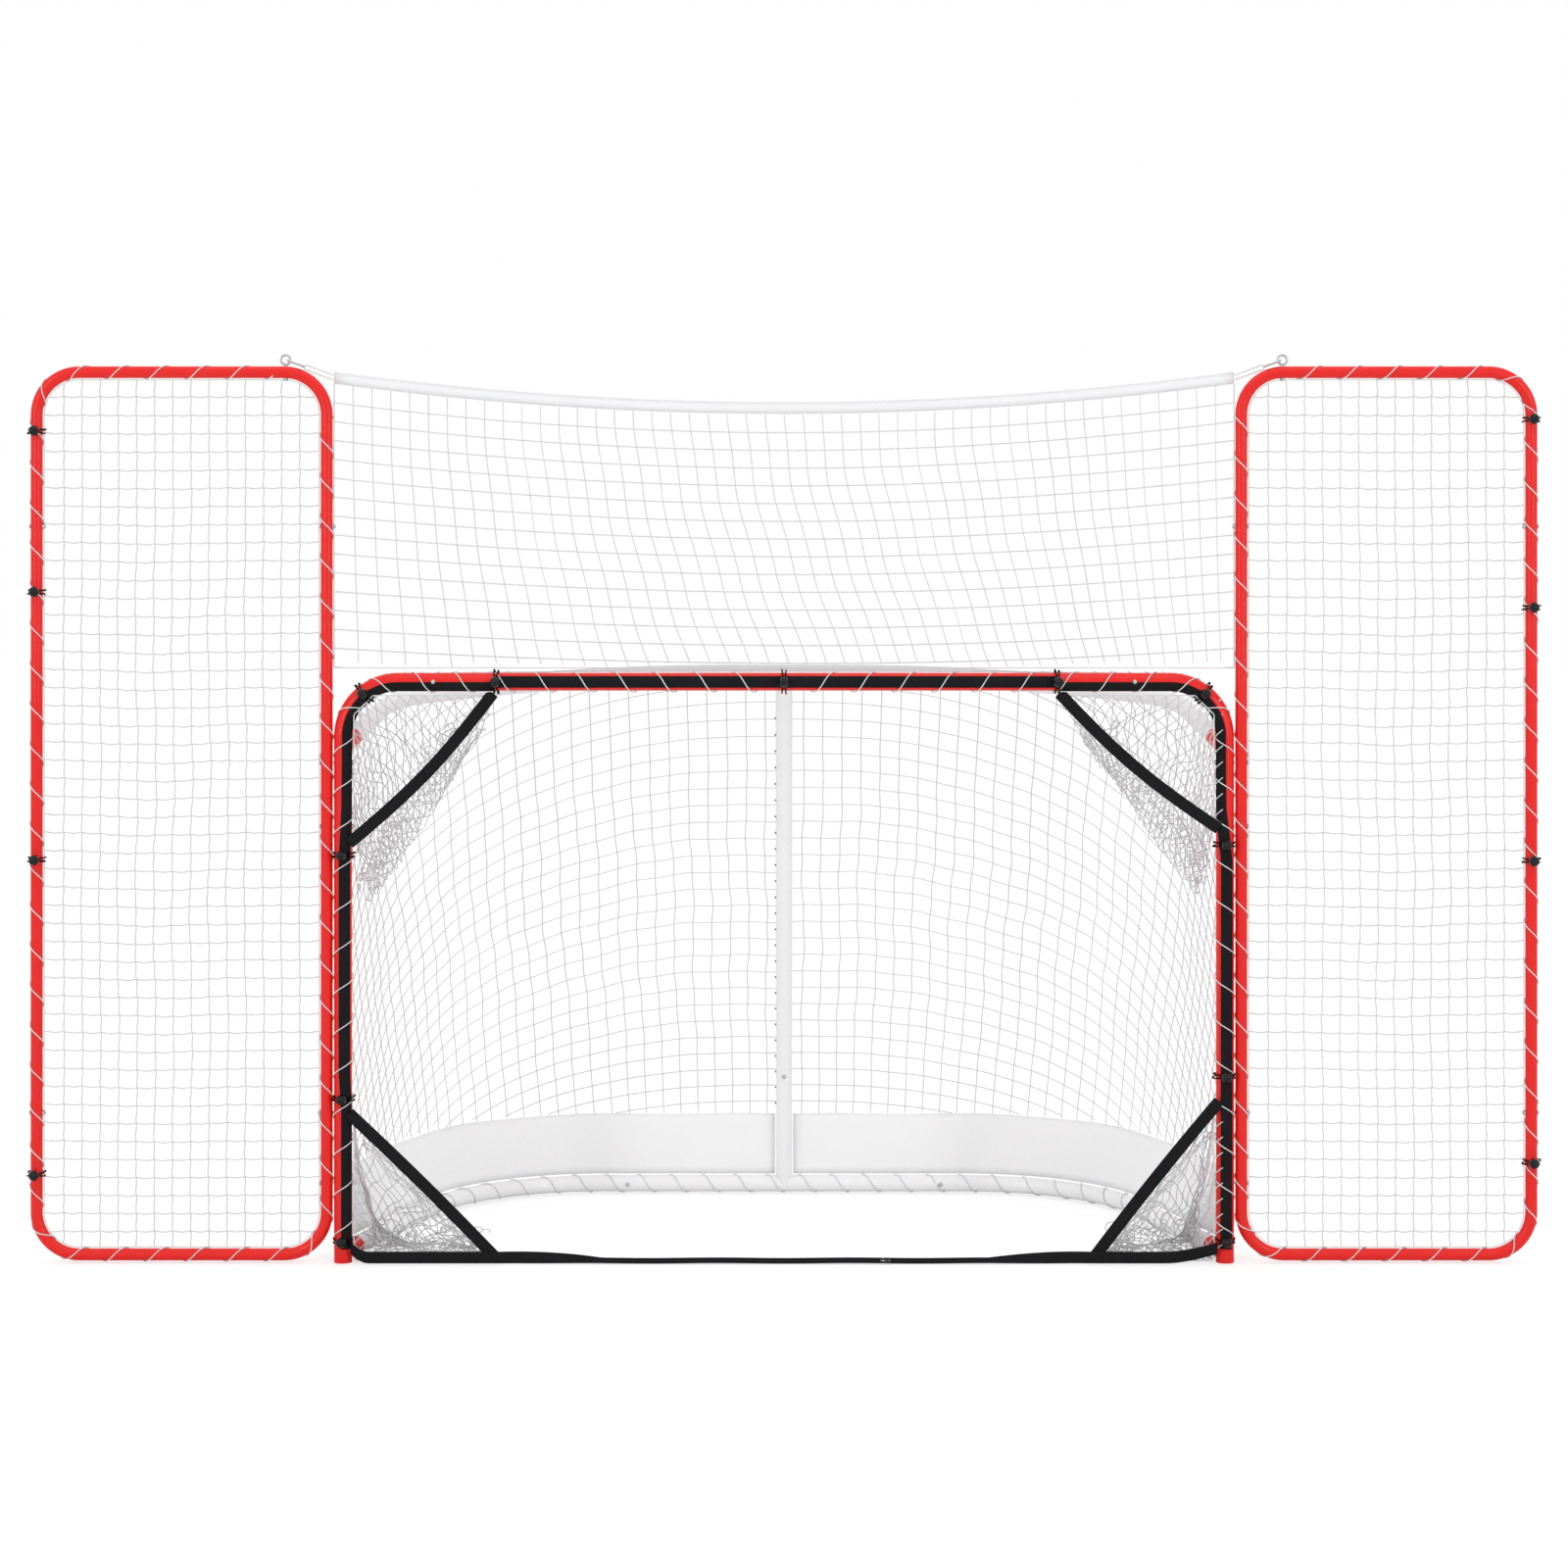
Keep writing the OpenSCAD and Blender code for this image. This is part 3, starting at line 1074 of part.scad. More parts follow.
function loop_open(ring_r, reach) = let (c = reach + ball_d / 2)
    acos((ring_r * ring_r + c * c - pow(ball_d / 2 + 2 * seat, 2)) / (2 * ring_r * c));

wing_tie_reach = lace_reach_wing + seat / 2;
wing_tie_r = net_edge + strand + seat + tie_d / 2;
wing_tie_open = loop_open(wing_tie_r, wing_tie_reach);

module wing_ties(balls) color(web_color) at_goal() for (s = [-1, 1])
    for (z = s < 0 ? ties_wing_left : ties_wing_right) translate([s * wing_out, 0, z]) {
        if (balls) tie_ball(wing_tie_reach);
        else tie_loop(wing_tie_r, wing_tie_open, 360 - wing_tie_open);
    }
module wing_tie_balls() wing_ties(true);
module wing_tie_loops() wing_ties(false);

goal_tie_reach = web_front + seat;
goal_tie_open = loop_open(goal_tie_r, goal_tie_reach);
corner_tie = 52;
// Angles from the front where a post's elastic goes between post and wing.
post_tie_rear = 190;
post_tie_front = 325;

module post_tie(s, z, balls) translate([s * post_x, 0, z]) mirror([s > 0 ? 1 : 0, 0, 0]) {
    if (balls) tie_ball(goal_tie_reach);
    else {
        tie_loop(goal_tie_r, goal_tie_open, post_tie_rear);
        tie_loop(goal_tie_r, post_tie_front, 360 - goal_tie_open);
    }
}
module bar_tie(x, balls) translate([x, 0, bar_z]) rotate([0, 90, 0]) {
    if (balls) tie_ball(goal_tie_reach);
    else tie_loop(goal_tie_r, goal_tie_open, 360 - goal_tie_open);
}
module corner_tie_at(s, balls) side(s) translate([post_x - corner_r + corner_r * cos(corner_tie), 0,
        bend_z + corner_r * sin(corner_tie)]) rotate([0, -corner_tie, 0]) {
    if (balls) tie_ball(goal_tie_reach);
    else tie_loop(goal_tie_r, goal_tie_open, 360 - goal_tie_open);
}

module target_ties(balls) color(web_color) at_goal() {
    for (z = ties_post_left) post_tie(-1, z, balls);
    for (z = ties_post_right) post_tie(1, z, balls);
    for (x = ties_bar) bar_tie(x, balls);
    for (s = [-1, 1]) corner_tie_at(s, balls);
}
module target_tie_balls() target_ties(true);
module target_tie_loops() target_ties(false);

left_post();
right_post();
left_corner_bend();
right_corner_bend();
crossbar();
post_end_plugs();
base_center_tube();
base_tube_left();
base_tube_right();
center_post();
roof_tube_left();
roof_tube_right();
crossbar_bolts();
base_bolts();
roof_bolts();
wing_mount_bolts();
wing_top_bend_left();
wing_top_bend_right();
wing_inner_tube_left();
wing_inner_tube_right();
wing_outer_tube_left();
wing_outer_tube_right();
wing_bottom_bend_left();
wing_bottom_bend_right();
wing_joint_bolts();
wing_net_left();
wing_net_right();
wing_lacing_left();
wing_lacing_right();
backstop_net();
backstop_strap();
eye_bolts();
eye_bolt_nuts();
snap_hook_left();
snap_hook_right();
snap_gate_left();
snap_gate_right();
snap_hook_pins();
goal_net();
goal_lacing_left();
goal_lacing_right();
skirt_left();
skirt_right();
skirt_lacing();
target_top_strap();
target_side_strap_left();
target_side_strap_right();
target_bottom_strap_left();
target_bottom_strap_right();
strap_buckle();
target_diagonals();
pocket_top_left();
pocket_top_right();
pocket_bottom_left();
pocket_bottom_right();
target_tie_balls();
target_tie_loops();
wing_tie_balls();
wing_tie_loops();
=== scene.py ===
"""Dresses the hockey goal: painted tubes, steel, nets, lacing, webbing, skirt, pockets and elastic ties."""

import json
import logging
import math
import random
from collections.abc import Callable, Sequence
from dataclasses import dataclass
from enum import Enum

import bmesh
import bpy
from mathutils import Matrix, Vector


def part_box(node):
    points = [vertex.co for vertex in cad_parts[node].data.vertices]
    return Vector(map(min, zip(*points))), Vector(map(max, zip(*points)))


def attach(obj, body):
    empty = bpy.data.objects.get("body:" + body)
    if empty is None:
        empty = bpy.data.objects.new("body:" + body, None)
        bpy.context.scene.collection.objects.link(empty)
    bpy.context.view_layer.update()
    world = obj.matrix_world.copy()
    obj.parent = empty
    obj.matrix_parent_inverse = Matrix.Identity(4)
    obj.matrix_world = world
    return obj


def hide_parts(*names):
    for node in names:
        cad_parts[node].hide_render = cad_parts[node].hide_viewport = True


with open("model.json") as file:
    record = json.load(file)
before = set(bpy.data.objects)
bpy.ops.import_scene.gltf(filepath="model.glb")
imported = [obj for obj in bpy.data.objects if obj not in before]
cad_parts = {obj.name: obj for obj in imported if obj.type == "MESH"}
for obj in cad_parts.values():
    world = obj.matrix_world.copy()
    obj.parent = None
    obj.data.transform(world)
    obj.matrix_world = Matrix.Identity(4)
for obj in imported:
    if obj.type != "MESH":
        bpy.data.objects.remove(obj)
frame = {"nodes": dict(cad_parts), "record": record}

LOG = logging.getLogger("goal")
MM = 0.001
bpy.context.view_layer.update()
GOAL_LINE = (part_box("crossbar")[0][1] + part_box("crossbar")[1][1]) / 2

Run = list[Vector]
Colour = tuple[float, float, float]
Place = Callable[[float, float], Vector]


def spot(x: float, depth: float, z: float) -> Vector:
    """Place in the frame, in metres, from millimetres across, behind the goal line and up."""
    return Vector((x * MM, GOAL_LINE + depth * MM, z * MM))


# ---------- sizes ----------


@dataclass(frozen=True)
class Bow:
    """Half of a bent tube in its own plane, from the middle of the rear run to the post, in millimetres."""

    flat: float
    wide_r: float
    wide: float
    side_r: float
    turn: float
    depth: float

    def side(self) -> float:
        """Works out the straight side run.

        Returns:
            Its length in millimetres.
        """
        drop = self.wide_r * (1 - math.cos(self.wide))
        drop += self.side_r * (math.cos(self.wide) - math.cos(self.turn))
        return (self.depth - drop) / math.sin(self.turn)

    def length(self) -> float:
        """Length of the half bow."""
        return self.flat + self.wide_r * self.wide + self.side_r * (self.turn - self.wide) + self.side()

    def at(self, s: float) -> tuple[float, float, float]:
        """Place and heading on the bow.

        Args:
            s: Length from the middle, in millimetres.

        Returns:
            Distance across, depth, and heading in radians.
        """
        l1 = self.wide_r * self.wide
        l2 = self.side_r * (self.turn - self.wide)
        mid_x = self.flat + (self.wide_r - self.side_r) * math.sin(self.wide)
        mid_y = self.depth - self.wide_r + (self.wide_r - self.side_r) * math.cos(self.wide)
        if s < self.flat:
            return s, self.depth, 0.0
        if s < self.flat + l1:
            h = (s - self.flat) / self.wide_r
            return self.flat + self.wide_r * math.sin(h), self.depth - self.wide_r * (1 - math.cos(h)), h
        if s < self.flat + l1 + l2:
            h = self.wide + (s - self.flat - l1) / self.side_r
            return mid_x + self.side_r * math.sin(h), mid_y + self.side_r * math.cos(h), h
        t = s - self.flat - l1 - l2
        end_x = mid_x + self.side_r * math.sin(self.turn)
        end_y = mid_y + self.side_r * math.cos(self.turn)
        return end_x + t * math.cos(self.turn), end_y - t * math.sin(self.turn), self.turn


@dataclass(frozen=True)
class GoalSizes:
    """Sizes that the soft pieces share with the tubes, in millimetres and degrees."""

    tube_r: float = 19.05
    post_x: float = 933.55
    goal_h: float = 1209.0
    bar_z: float = 1228.05
    bend_z: float = 1112.05
    corner_r: float = 116.0
    base_z: float = 22.05
    base_depth: float = 762.0
    base_r: float = 400.0
    base_turn: float = 74.6
    roof_depth: float = 500.0
    roof_foot: float = 1090.0
    roof_sweep: float = 24.0
    roof_r: float = 150.0
    roof_turn: float = 80.0
    tee_half: float = 60.0
    tee_end: float = 60.3
    wing_in: float = 968.1
    wing_out: float = 1582.1
    wing_lo: float = 15.7
    wing_hi: float = 1883.3
    wing_r: float = 90.0
    wing_tube_r: float = 12.7
    eye_x: float = 1055.1
    eye_z: float = 1909.6
    eye_gap: float = 25.0
    web_w: float = 25.4
    web_t: float = 1.6
    web_gap: float = 0.3
    elastic: float = 1.6
    lace: float = 1.2
    lace_gap: float = 0.15
    pitch: float = 85.0
    phase: float = 8.75
    skirt_pitch: float = 76.0
    skirt_top: float = 190.0
    skirt_low: float = 44.0
    strand: float = 1.2
    knot: float = 1.5
    edge_rope: float = 1.1

    @property
    def web_in(self) -> float:
        """Half width of the goal mouth."""
        return self.post_x - self.tube_r

    def base(self) -> Bow:
        """Route of the base tube.

        Returns:
            Half of the tube, level on the floor.
        """
        turn = math.radians(self.base_turn)
        flat = self.post_x - self.base_r * math.sin(turn)
        flat -= (self.base_depth - self.base_r * (1 - math.cos(turn))) / math.tan(turn)
        return Bow(flat, self.base_r, 0.0, self.base_r, turn, self.base_depth)

    def tilt(self) -> float:
        """Slope of the roof, in radians."""
        return math.atan2(self.bar_z - self.roof_foot, self.roof_depth)

    def roof(self) -> Bow:
        """Route of the roof tube in its sloping plane.

        Returns:
            Half of the tube, with its depth along the slope.
        """
        turn, sweep = math.radians(self.roof_turn), math.radians(self.roof_sweep)
        reach = math.hypot(self.roof_depth, self.bar_z - self.roof_foot)
        flat = self.tee_half + self.tee_end
        wide = self.post_x - flat - self.roof_r * (math.sin(turn) - math.sin(sweep))
        wide -= (reach - self.roof_r * (math.cos(sweep) - math.cos(turn))) / math.tan(turn)
        wide /= math.sin(sweep) - (1 - math.cos(sweep)) / math.tan(turn)
        return Bow(flat, wide, sweep, self.roof_r, turn, reach)


SIZES = GoalSizes()


class Route:
    """A path in the plane of the goal line, followed by its length."""

    def __init__(self, corners: Sequence[tuple[float, float]], turn: int) -> None:
        """Measures the path.

        Args:
            corners: Points across and up, in millimetres.
            turn: 1 where the outside lies to the right of the path, -1 to the left.
        """
        self.points = [Vector(p) for p in corners]
        self.turn = turn
        self.ends = [0.0]
        for a, b in zip(self.points, self.points[1:]):
            self.ends.append(self.ends[-1] + (b - a).length)

    def length(self) -> float:
        """Length of the path in millimetres."""
        return self.ends[-1]

    def at(self, s: float) -> tuple[Vector, Vector]:
        """Place and outward direction on the path.

        Args:
            s: Length along the path, in millimetres.

        Returns:
            The place, and a unit vector outwards.
        """
        s = min(max(s, 0.0), self.ends[-1] - 1e-6)
        i = next(k for k in range(len(self.ends) - 1) if s <= self.ends[k + 1])
        a, b = self.points[i], self.points[i + 1]
        d = (b - a).normalized()
        return a + d * (s - self.ends[i]), Vector((d.y, -d.x)) * self.turn


def arc(
    cx: float, cz: float, r: float, start: float, sweep: float, steps: int = 20
) -> list[tuple[float, float]]:
    """Points on an arc, angles in degrees."""
    angles = [math.radians(start + sweep * i / steps) for i in range(steps + 1)]
    return [(cx + r * math.cos(a), cz + r * math.sin(a)) for a in angles]


def goal_route() -> Route:
    """Follows a post from its foot, round the corner, to the middle of the crossbar.

    Returns:
        The route on the right of the goal.
    """
    s = SIZES
    bend = arc(s.post_x - s.corner_r, s.bend_z, s.corner_r, 0, 90)
    return Route([(s.post_x, 0.0), *bend, (0.0, s.bar_z)], 1)


def wing_route() -> Route:
    """Follows a wing from its eye bolt outwards, down, back and up the inner tube.

    Returns:
        The route on the right of the goal.
    """
    s, r = SIZES, SIZES.wing_r
    return Route(
        [
            (s.eye_x + s.eye_gap, s.wing_hi),
            *arc(s.wing_out - r, s.wing_hi - r, r, 90, -90),
            *arc(s.wing_out - r, s.wing_lo + r, r, 0, -90),
            *arc(s.wing_in + r, s.wing_lo + r, r, 270, -90),
            (s.wing_in, s.wing_hi - r),
        ],
        -1,
    )


# ---------- finishes ----------


class Surface(Enum):
    """Kinds of surface, each with its own node group."""

    PAINTED = "painted"
    PLATED = "plated"
    MOULDED = "moulded"
    TWISTED = "twisted"
    WOVEN = "woven"
    RIBBED = "ribbed"


WAVER = 0.3


def surface_group(kind: Surface) -> bpy.types.NodeTree:
    """Builds the node group of a kind of surface once.

    Args:
        kind: The surface whose relief and mask are wanted.

    Returns:
        A group with Vector and Scale in, and Height and Mask out.
    """
    name = "surface_" + kind.value
    if name in bpy.data.node_groups:
        return bpy.data.node_groups[name]
    group = bpy.data.node_groups.new(name, "ShaderNodeTree")
    group.interface.new_socket("Vector", in_out="INPUT", socket_type="NodeSocketVector")
    for title, way in (("Scale", "INPUT"), ("Height", "OUTPUT"), ("Mask", "OUTPUT")):
        group.interface.new_socket(title, in_out=way, socket_type="NodeSocketFloat")
    nodes, links = group.nodes, group.links
    source, sink = nodes.new("NodeGroupInput"), nodes.new("NodeGroupOutput")
    scaled = nodes.new("ShaderNodeVectorMath")
    scaled.operation = "SCALE"
    links.new(source.outputs["Vector"], scaled.inputs[0])
    links.new(source.outputs["Scale"], scaled.inputs["Scale"])

    def noise(scale: float, detail: float) -> bpy.types.NodeSocket:
        """Adds a noise texture on the scaled place.

        Args:
            scale: Fineness of the noise.
            detail: Number of finer layers.

        Returns:
            The socket with its value.
        """
        node = nodes.new("ShaderNodeTexNoise")
        node.inputs["Scale"].default_value = scale
        node.inputs["Detail"].default_value = detail
        links.new(scaled.outputs[0], node.inputs["Vector"])
        return node.outputs["Fac"]

    def wave(axis: str, scale: float) -> bpy.types.NodeSocket:
        """Adds a band texture on the scaled place.

        Args:
            axis: Way that the bands follow each other.
            scale: Fineness of the bands.

        Returns:
            The socket with its value.
        """
        node = nodes.new("ShaderNodeTexWave")
        node.bands_direction = axis
        node.wave_profile = "SIN"
        node.inputs["Scale"].default_value = scale
        node.inputs["Distortion"].default_value = WAVER
        links.new(scaled.outputs[0], node.inputs["Vector"])
        return node.outputs["Fac"]

    def combine(op: str, a: bpy.types.NodeSocket, b: bpy.types.NodeSocket | float) -> bpy.types.NodeSocket:
        """Adds a sum on two values.

        Args:
            op: The operation.
            a: First value.
            b: Second value, as a socket or a number.

        Returns:
            The socket with its result.
        """
        node = nodes.new("ShaderNodeMath")
        node.operation = op
        links.new(a, node.inputs[0])
        if isinstance(b, float):
            node.inputs[1].default_value = b
        else:
            links.new(b, node.inputs[1])
        return node.outputs[0]

    if kind is Surface.PAINTED:
        height, mask = noise(1.0, 2.0), noise(0.02, 4.0)
    elif kind is Surface.PLATED:
        height, mask = noise(2.0, 6.0), noise(0.3, 5.0)
    elif kind is Surface.MOULDED:
        height, mask = noise(1.5, 3.0), noise(0.2, 3.0)
    elif kind is Surface.TWISTED:
        height = combine("ADD", wave("DIAGONAL", 1.0), combine("MULTIPLY", noise(3.0, 3.0), 0.5))
        mask = combine("MULTIPLY", combine("ADD", wave("DIAGONAL", 1.0), noise(0.2, 3.0)), 0.5)
    elif kind is Surface.WOVEN:
        height = combine("ADD", wave("X", 1.0), wave("Y", 1.0))
        mask = combine("MULTIPLY", combine("ADD", noise(0.004, 4.0), combine("MULTIPLY", height, 0.5)), 0.5)
    else:
        height = combine("ADD", wave("Y", 1.0), combine("MULTIPLY", wave("X", 1.6), 0.6))
        mask = combine("MULTIPLY", combine("ADD", noise(0.05, 4.0), combine("MULTIPLY", height, 0.6)), 0.5)
    links.new(height, sink.inputs["Height"])
    links.new(mask, sink.inputs["Mask"])
    return group


@dataclass(frozen=True)
class Finish:
    """A finish with its colours, gloss and relief, whose relief is in millimetres."""

    name: str
    kind: Surface
    light: Colour
    dark: Colour
    rough: tuple[float, float]
    scale: float
    relief: float
    metallic: float = 0.0
    coat: float = 0.0
    on_uv: bool = False
    shine: float = 0.5
    slotted: bool = True
    coat_rough: float = 0.06

    def material(self) -> bpy.types.Material:
        """Builds the material once.

        Returns:
            The material, shared by all pieces with this finish.
        """
        title = f"{self.name}_finish"
        if title in bpy.data.materials:
            return bpy.data.materials[title]
        mat = bpy.data.materials.new(title)
        mat.use_nodes = True
        nodes, links = mat.node_tree.nodes, mat.node_tree.links
        shader = nodes["Principled BSDF"]
        shader.inputs["Metallic"].default_value = self.metallic
        shader.inputs["Coat Weight"].default_value = self.coat
        shader.inputs["Specular IOR Level"].default_value = self.shine
        shader.inputs["Coat Roughness"].default_value = self.coat_rough
        place = nodes.new("ShaderNodeUVMap" if self.on_uv else "ShaderNodeTexCoord")
        if self.on_uv:
            place.uv_map = "UVMap"
        surface = nodes.new("ShaderNodeGroup")
        surface.node_tree = surface_group(self.kind)
        surface.inputs["Scale"].default_value = self.scale
        links.new(place.outputs["UV" if self.on_uv else "Object"], surface.inputs["Vector"])
        tint = nodes.new("ShaderNodeMix")
        tint.data_type = "RGBA"
        tint.inputs["A"].default_value = (*self.dark, 1)
        tint.inputs["B"].default_value = (*self.light, 1)
        links.new(surface.outputs["Mask"], tint.inputs["Factor"])
        links.new(tint.outputs["Result"], shader.inputs["Base Color"])
        gloss = nodes.new("ShaderNodeMapRange")
        gloss.inputs["To Min"].default_value, gloss.inputs["To Max"].default_value = self.rough
        links.new(surface.outputs["Mask"], gloss.inputs["Value"])
        links.new(gloss.outputs["Result"], shader.inputs["Roughness"])
        bump = nodes.new("ShaderNodeBump")
        bump.inputs["Distance"].default_value = self.relief * MM
        links.new(surface.outputs["Height"], bump.inputs["Height"])
        links.new(bump.outputs["Normal"], shader.inputs["Normal"])
        return mat


RED = Finish(
    "red_paint", Surface.PAINTED, (0.8, 0.01, 0.007), (0.7, 0.007, 0.004), (0.3, 0.4), 900, 0.02,
    coat=0.3, shine=0.2
)
WHITE = Finish(
    "white_paint", Surface.PAINTED, (0.9, 0.9, 0.91), (0.85, 0.85, 0.86), (0.3, 0.4), 900, 0.02, coat=0.3
)
ZINC = Finish(
    "zinc_steel", Surface.PLATED, (0.6, 0.61, 0.62), (0.42, 0.43, 0.45), (0.22, 0.42), 500, 0.03, metallic=1.0
)
PLUG = Finish(
    "red_plastic", Surface.MOULDED, (0.8, 0.012, 0.01), (0.65, 0.008, 0.006), (0.4, 0.5), 600, 0.05,
    shine=0.1
)
NETTING = Finish(
    "white_netting", Surface.TWISTED, (0.93, 0.93, 0.94), (0.78, 0.78, 0.8), (0.7, 0.9), 900, 0.3, shine=0.0
)
CORD = Finish("white_cord", Surface.TWISTED, (0.93, 0.93, 0.93), (0.8, 0.8, 0.81), (0.5, 0.7), 700, 0.35)
SKIRT = Finish(
    "white_skirt", Surface.WOVEN, (0.96, 0.96, 0.97), (0.93, 0.93, 0.94), (0.6, 0.75), 500, 0.04, on_uv=True
)
TAPE = Finish(
    "white_webbing", Surface.RIBBED, (0.94, 0.94, 0.95), (0.86, 0.86, 0.88), (0.6, 0.8), 260, 0.2, on_uv=True
)
WEBBING = Finish(
    "black_webbing", Surface.RIBBED, (0.026, 0.026, 0.028), (0.01, 0.01, 0.011), (0.7, 0.9), 260, 0.3,
    on_uv=True, shine=0.0
)
BUCKLE = Finish(
    "black_plastic", Surface.MOULDED, (0.016, 0.016, 0.017), (0.007, 0.007, 0.008), (0.3, 0.45), 500, 0.05,
    shine=0.2
)
BALL = Finish(
    "black_balls", Surface.MOULDED, (0.008, 0.008, 0.009), (0.004, 0.004, 0.004), (0.15, 0.3), 500, 0.02,
    coat=0.3, shine=0.1
)
ELASTIC = Finish(
    "black_elastic", Surface.TWISTED, (0.01, 0.01, 0.011), (0.004, 0.004, 0.005), (0.6, 0.8), 900, 0.3,
    shine=0.0
)
# Grey finish for painted shade: dark dashes that stand for the shadow gaps at the skirt's hem, and the grey
# of the white ties at the centre post where they are shaded.
SHADE_GREY = Finish(
    "painted_shade_grey", Surface.TWISTED, (0.3, 0.3, 0.31), (0.16, 0.16, 0.17), (0.6, 0.8), 900, 0.2,
    shine=0.1, slotted=False
)

FINISHES = {
    f.name: f
    for f in (RED, WHITE, ZINC, PLUG, NETTING, CORD, SKIRT, TAPE, WEBBING, BUCKLE, BALL, ELASTIC)
}


# ---------- making pieces ----------


def dress(obj: bpy.types.Object, finish: Finish, *nodes: str) -> bpy.types.Object:
    """Gives a piece its finish and its place on the frame body, and hides the nodes that it stands for.

    Args:
        obj: The piece.
        finish: Its finish.
        nodes: Nodes that the piece replaces.

    Returns:
        The same piece.
    """
    obj.data.materials.append(finish.material())
    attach(obj, "frame")
    if finish.slotted:
        finish.name
    if nodes:
        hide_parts(*nodes)
    LOG.info("%s: %s", obj.name, finish.name)
    return obj


def link(name: str, data: bpy.types.ID) -> bpy.types.Object:
    """Adds an object to the scene.

    Args:
        name: Name of the object.
        data: Its mesh, curve, lamp or camera.

    Returns:
        The new object.
    """
    obj = bpy.data.objects.new(name, data)
    bpy.context.scene.collection.objects.link(obj)
    return obj


def cords(
    name: str, runs: Sequence[Run], radius: float, sides: int = 1, closed: bool = False
) -> bpy.types.Object:
    """Round cords along runs of points.

    Args:
        name: Name of the piece.
        runs: Points of each cord, in metres.
        radius: Radius of the cord in millimetres.
        sides: Roundness of the section.
        closed: Whether each cord is a closed ring.

    Returns:
        A curve object.
    """
    curve = bpy.data.curves.new(name, "CURVE")
    curve.dimensions = "3D"
    curve.bevel_depth = radius * MM
    curve.bevel_resolution = sides
    curve.use_fill_caps = True
    for run in runs:
        if len(run) < 2:
            continue
        spline = curve.splines.new("POLY")
        spline.points.add(len(run) - 1)
        for point, place in zip(spline.points, run):
            point.co = (*place, 1)
        spline.use_cyclic_u = closed
    return link(name, curve)


def knots(name: str, places: Sequence[Vector], radius: float) -> bpy.types.Object:
    """Small round knots of a net, one at each place.

    Args:
        name: Name of the piece.
        places: Middles of the knots, in metres.
        radius: Radius in millimetres.

    Returns:
        A mesh object.
    """
    mesh = bpy.data.meshes.new(name)
    bm = bmesh.new()
    for place in places:
        made = bmesh.ops.create_icosphere(bm, subdivisions=1, radius=radius * MM)
        bmesh.ops.translate(bm, verts=made["verts"], vec=place)
    bm.to_mesh(mesh)
    bm.free()
    mesh.shade_smooth()
    return link(name, mesh)


def strip(
    name: str, place: Place, size: tuple[float, float], cells: tuple[int, int], thick: float
) -> bpy.types.Object:
    """A flat piece of tape or cloth, bent to its place.

    Args:
        name: Name of the piece.
        place: Gives the place, in metres, for shares along and across from 0 to 1.
        size: Length and width of the flat piece, in millimetres.
        cells: Faces along and across.
        thick: Thickness in millimetres.

    Returns:
        A mesh object with a UV map in metres and a live Solidify modifier.
    """
    mesh = bpy.data.meshes.new(name)
    bm = bmesh.new()
    bmesh.ops.create_grid(bm, x_segments=cells[0], y_segments=cells[1], size=0.5)
    uv = bm.loops.layers.uv.new("UVMap")
    for face in bm.faces:
        face.smooth = True
        for loop in face.loops:
            share = loop.vert.co
            loop[uv].uv = ((share.x + 0.5) * size[0] * MM, (share.y + 0.5) * size[1] * MM)
    for vert in bm.verts:
        vert.co = place(vert.co.x + 0.5, vert.co.y + 0.5)
    bmesh.ops.recalc_face_normals(bm, faces=bm.faces)
    bm.to_mesh(mesh)
    bm.free()
    obj = link(name, mesh)
    wall = obj.modifiers.new("Thickness", "SOLIDIFY")
    wall.thickness = thick * MM
    wall.offset = 0
    return obj


def spread(low: float, high: float, pitch: float) -> list[float]:
    """Evenly spaced values from low to high, about a pitch apart, both ends included."""
    count = max(1, round((high - low) / pitch))
    return [low + (high - low) * i / count for i in range(count + 1)]


def mirrored(run: Run, side: int) -> Run:
    """The run on the left (-1) or the right (1) of the goal."""
    return [Vector((p.x * side, p.y, p.z)) for p in run]


SIDES = {"left": -1, "right": 1}


# ---------- lacing ----------


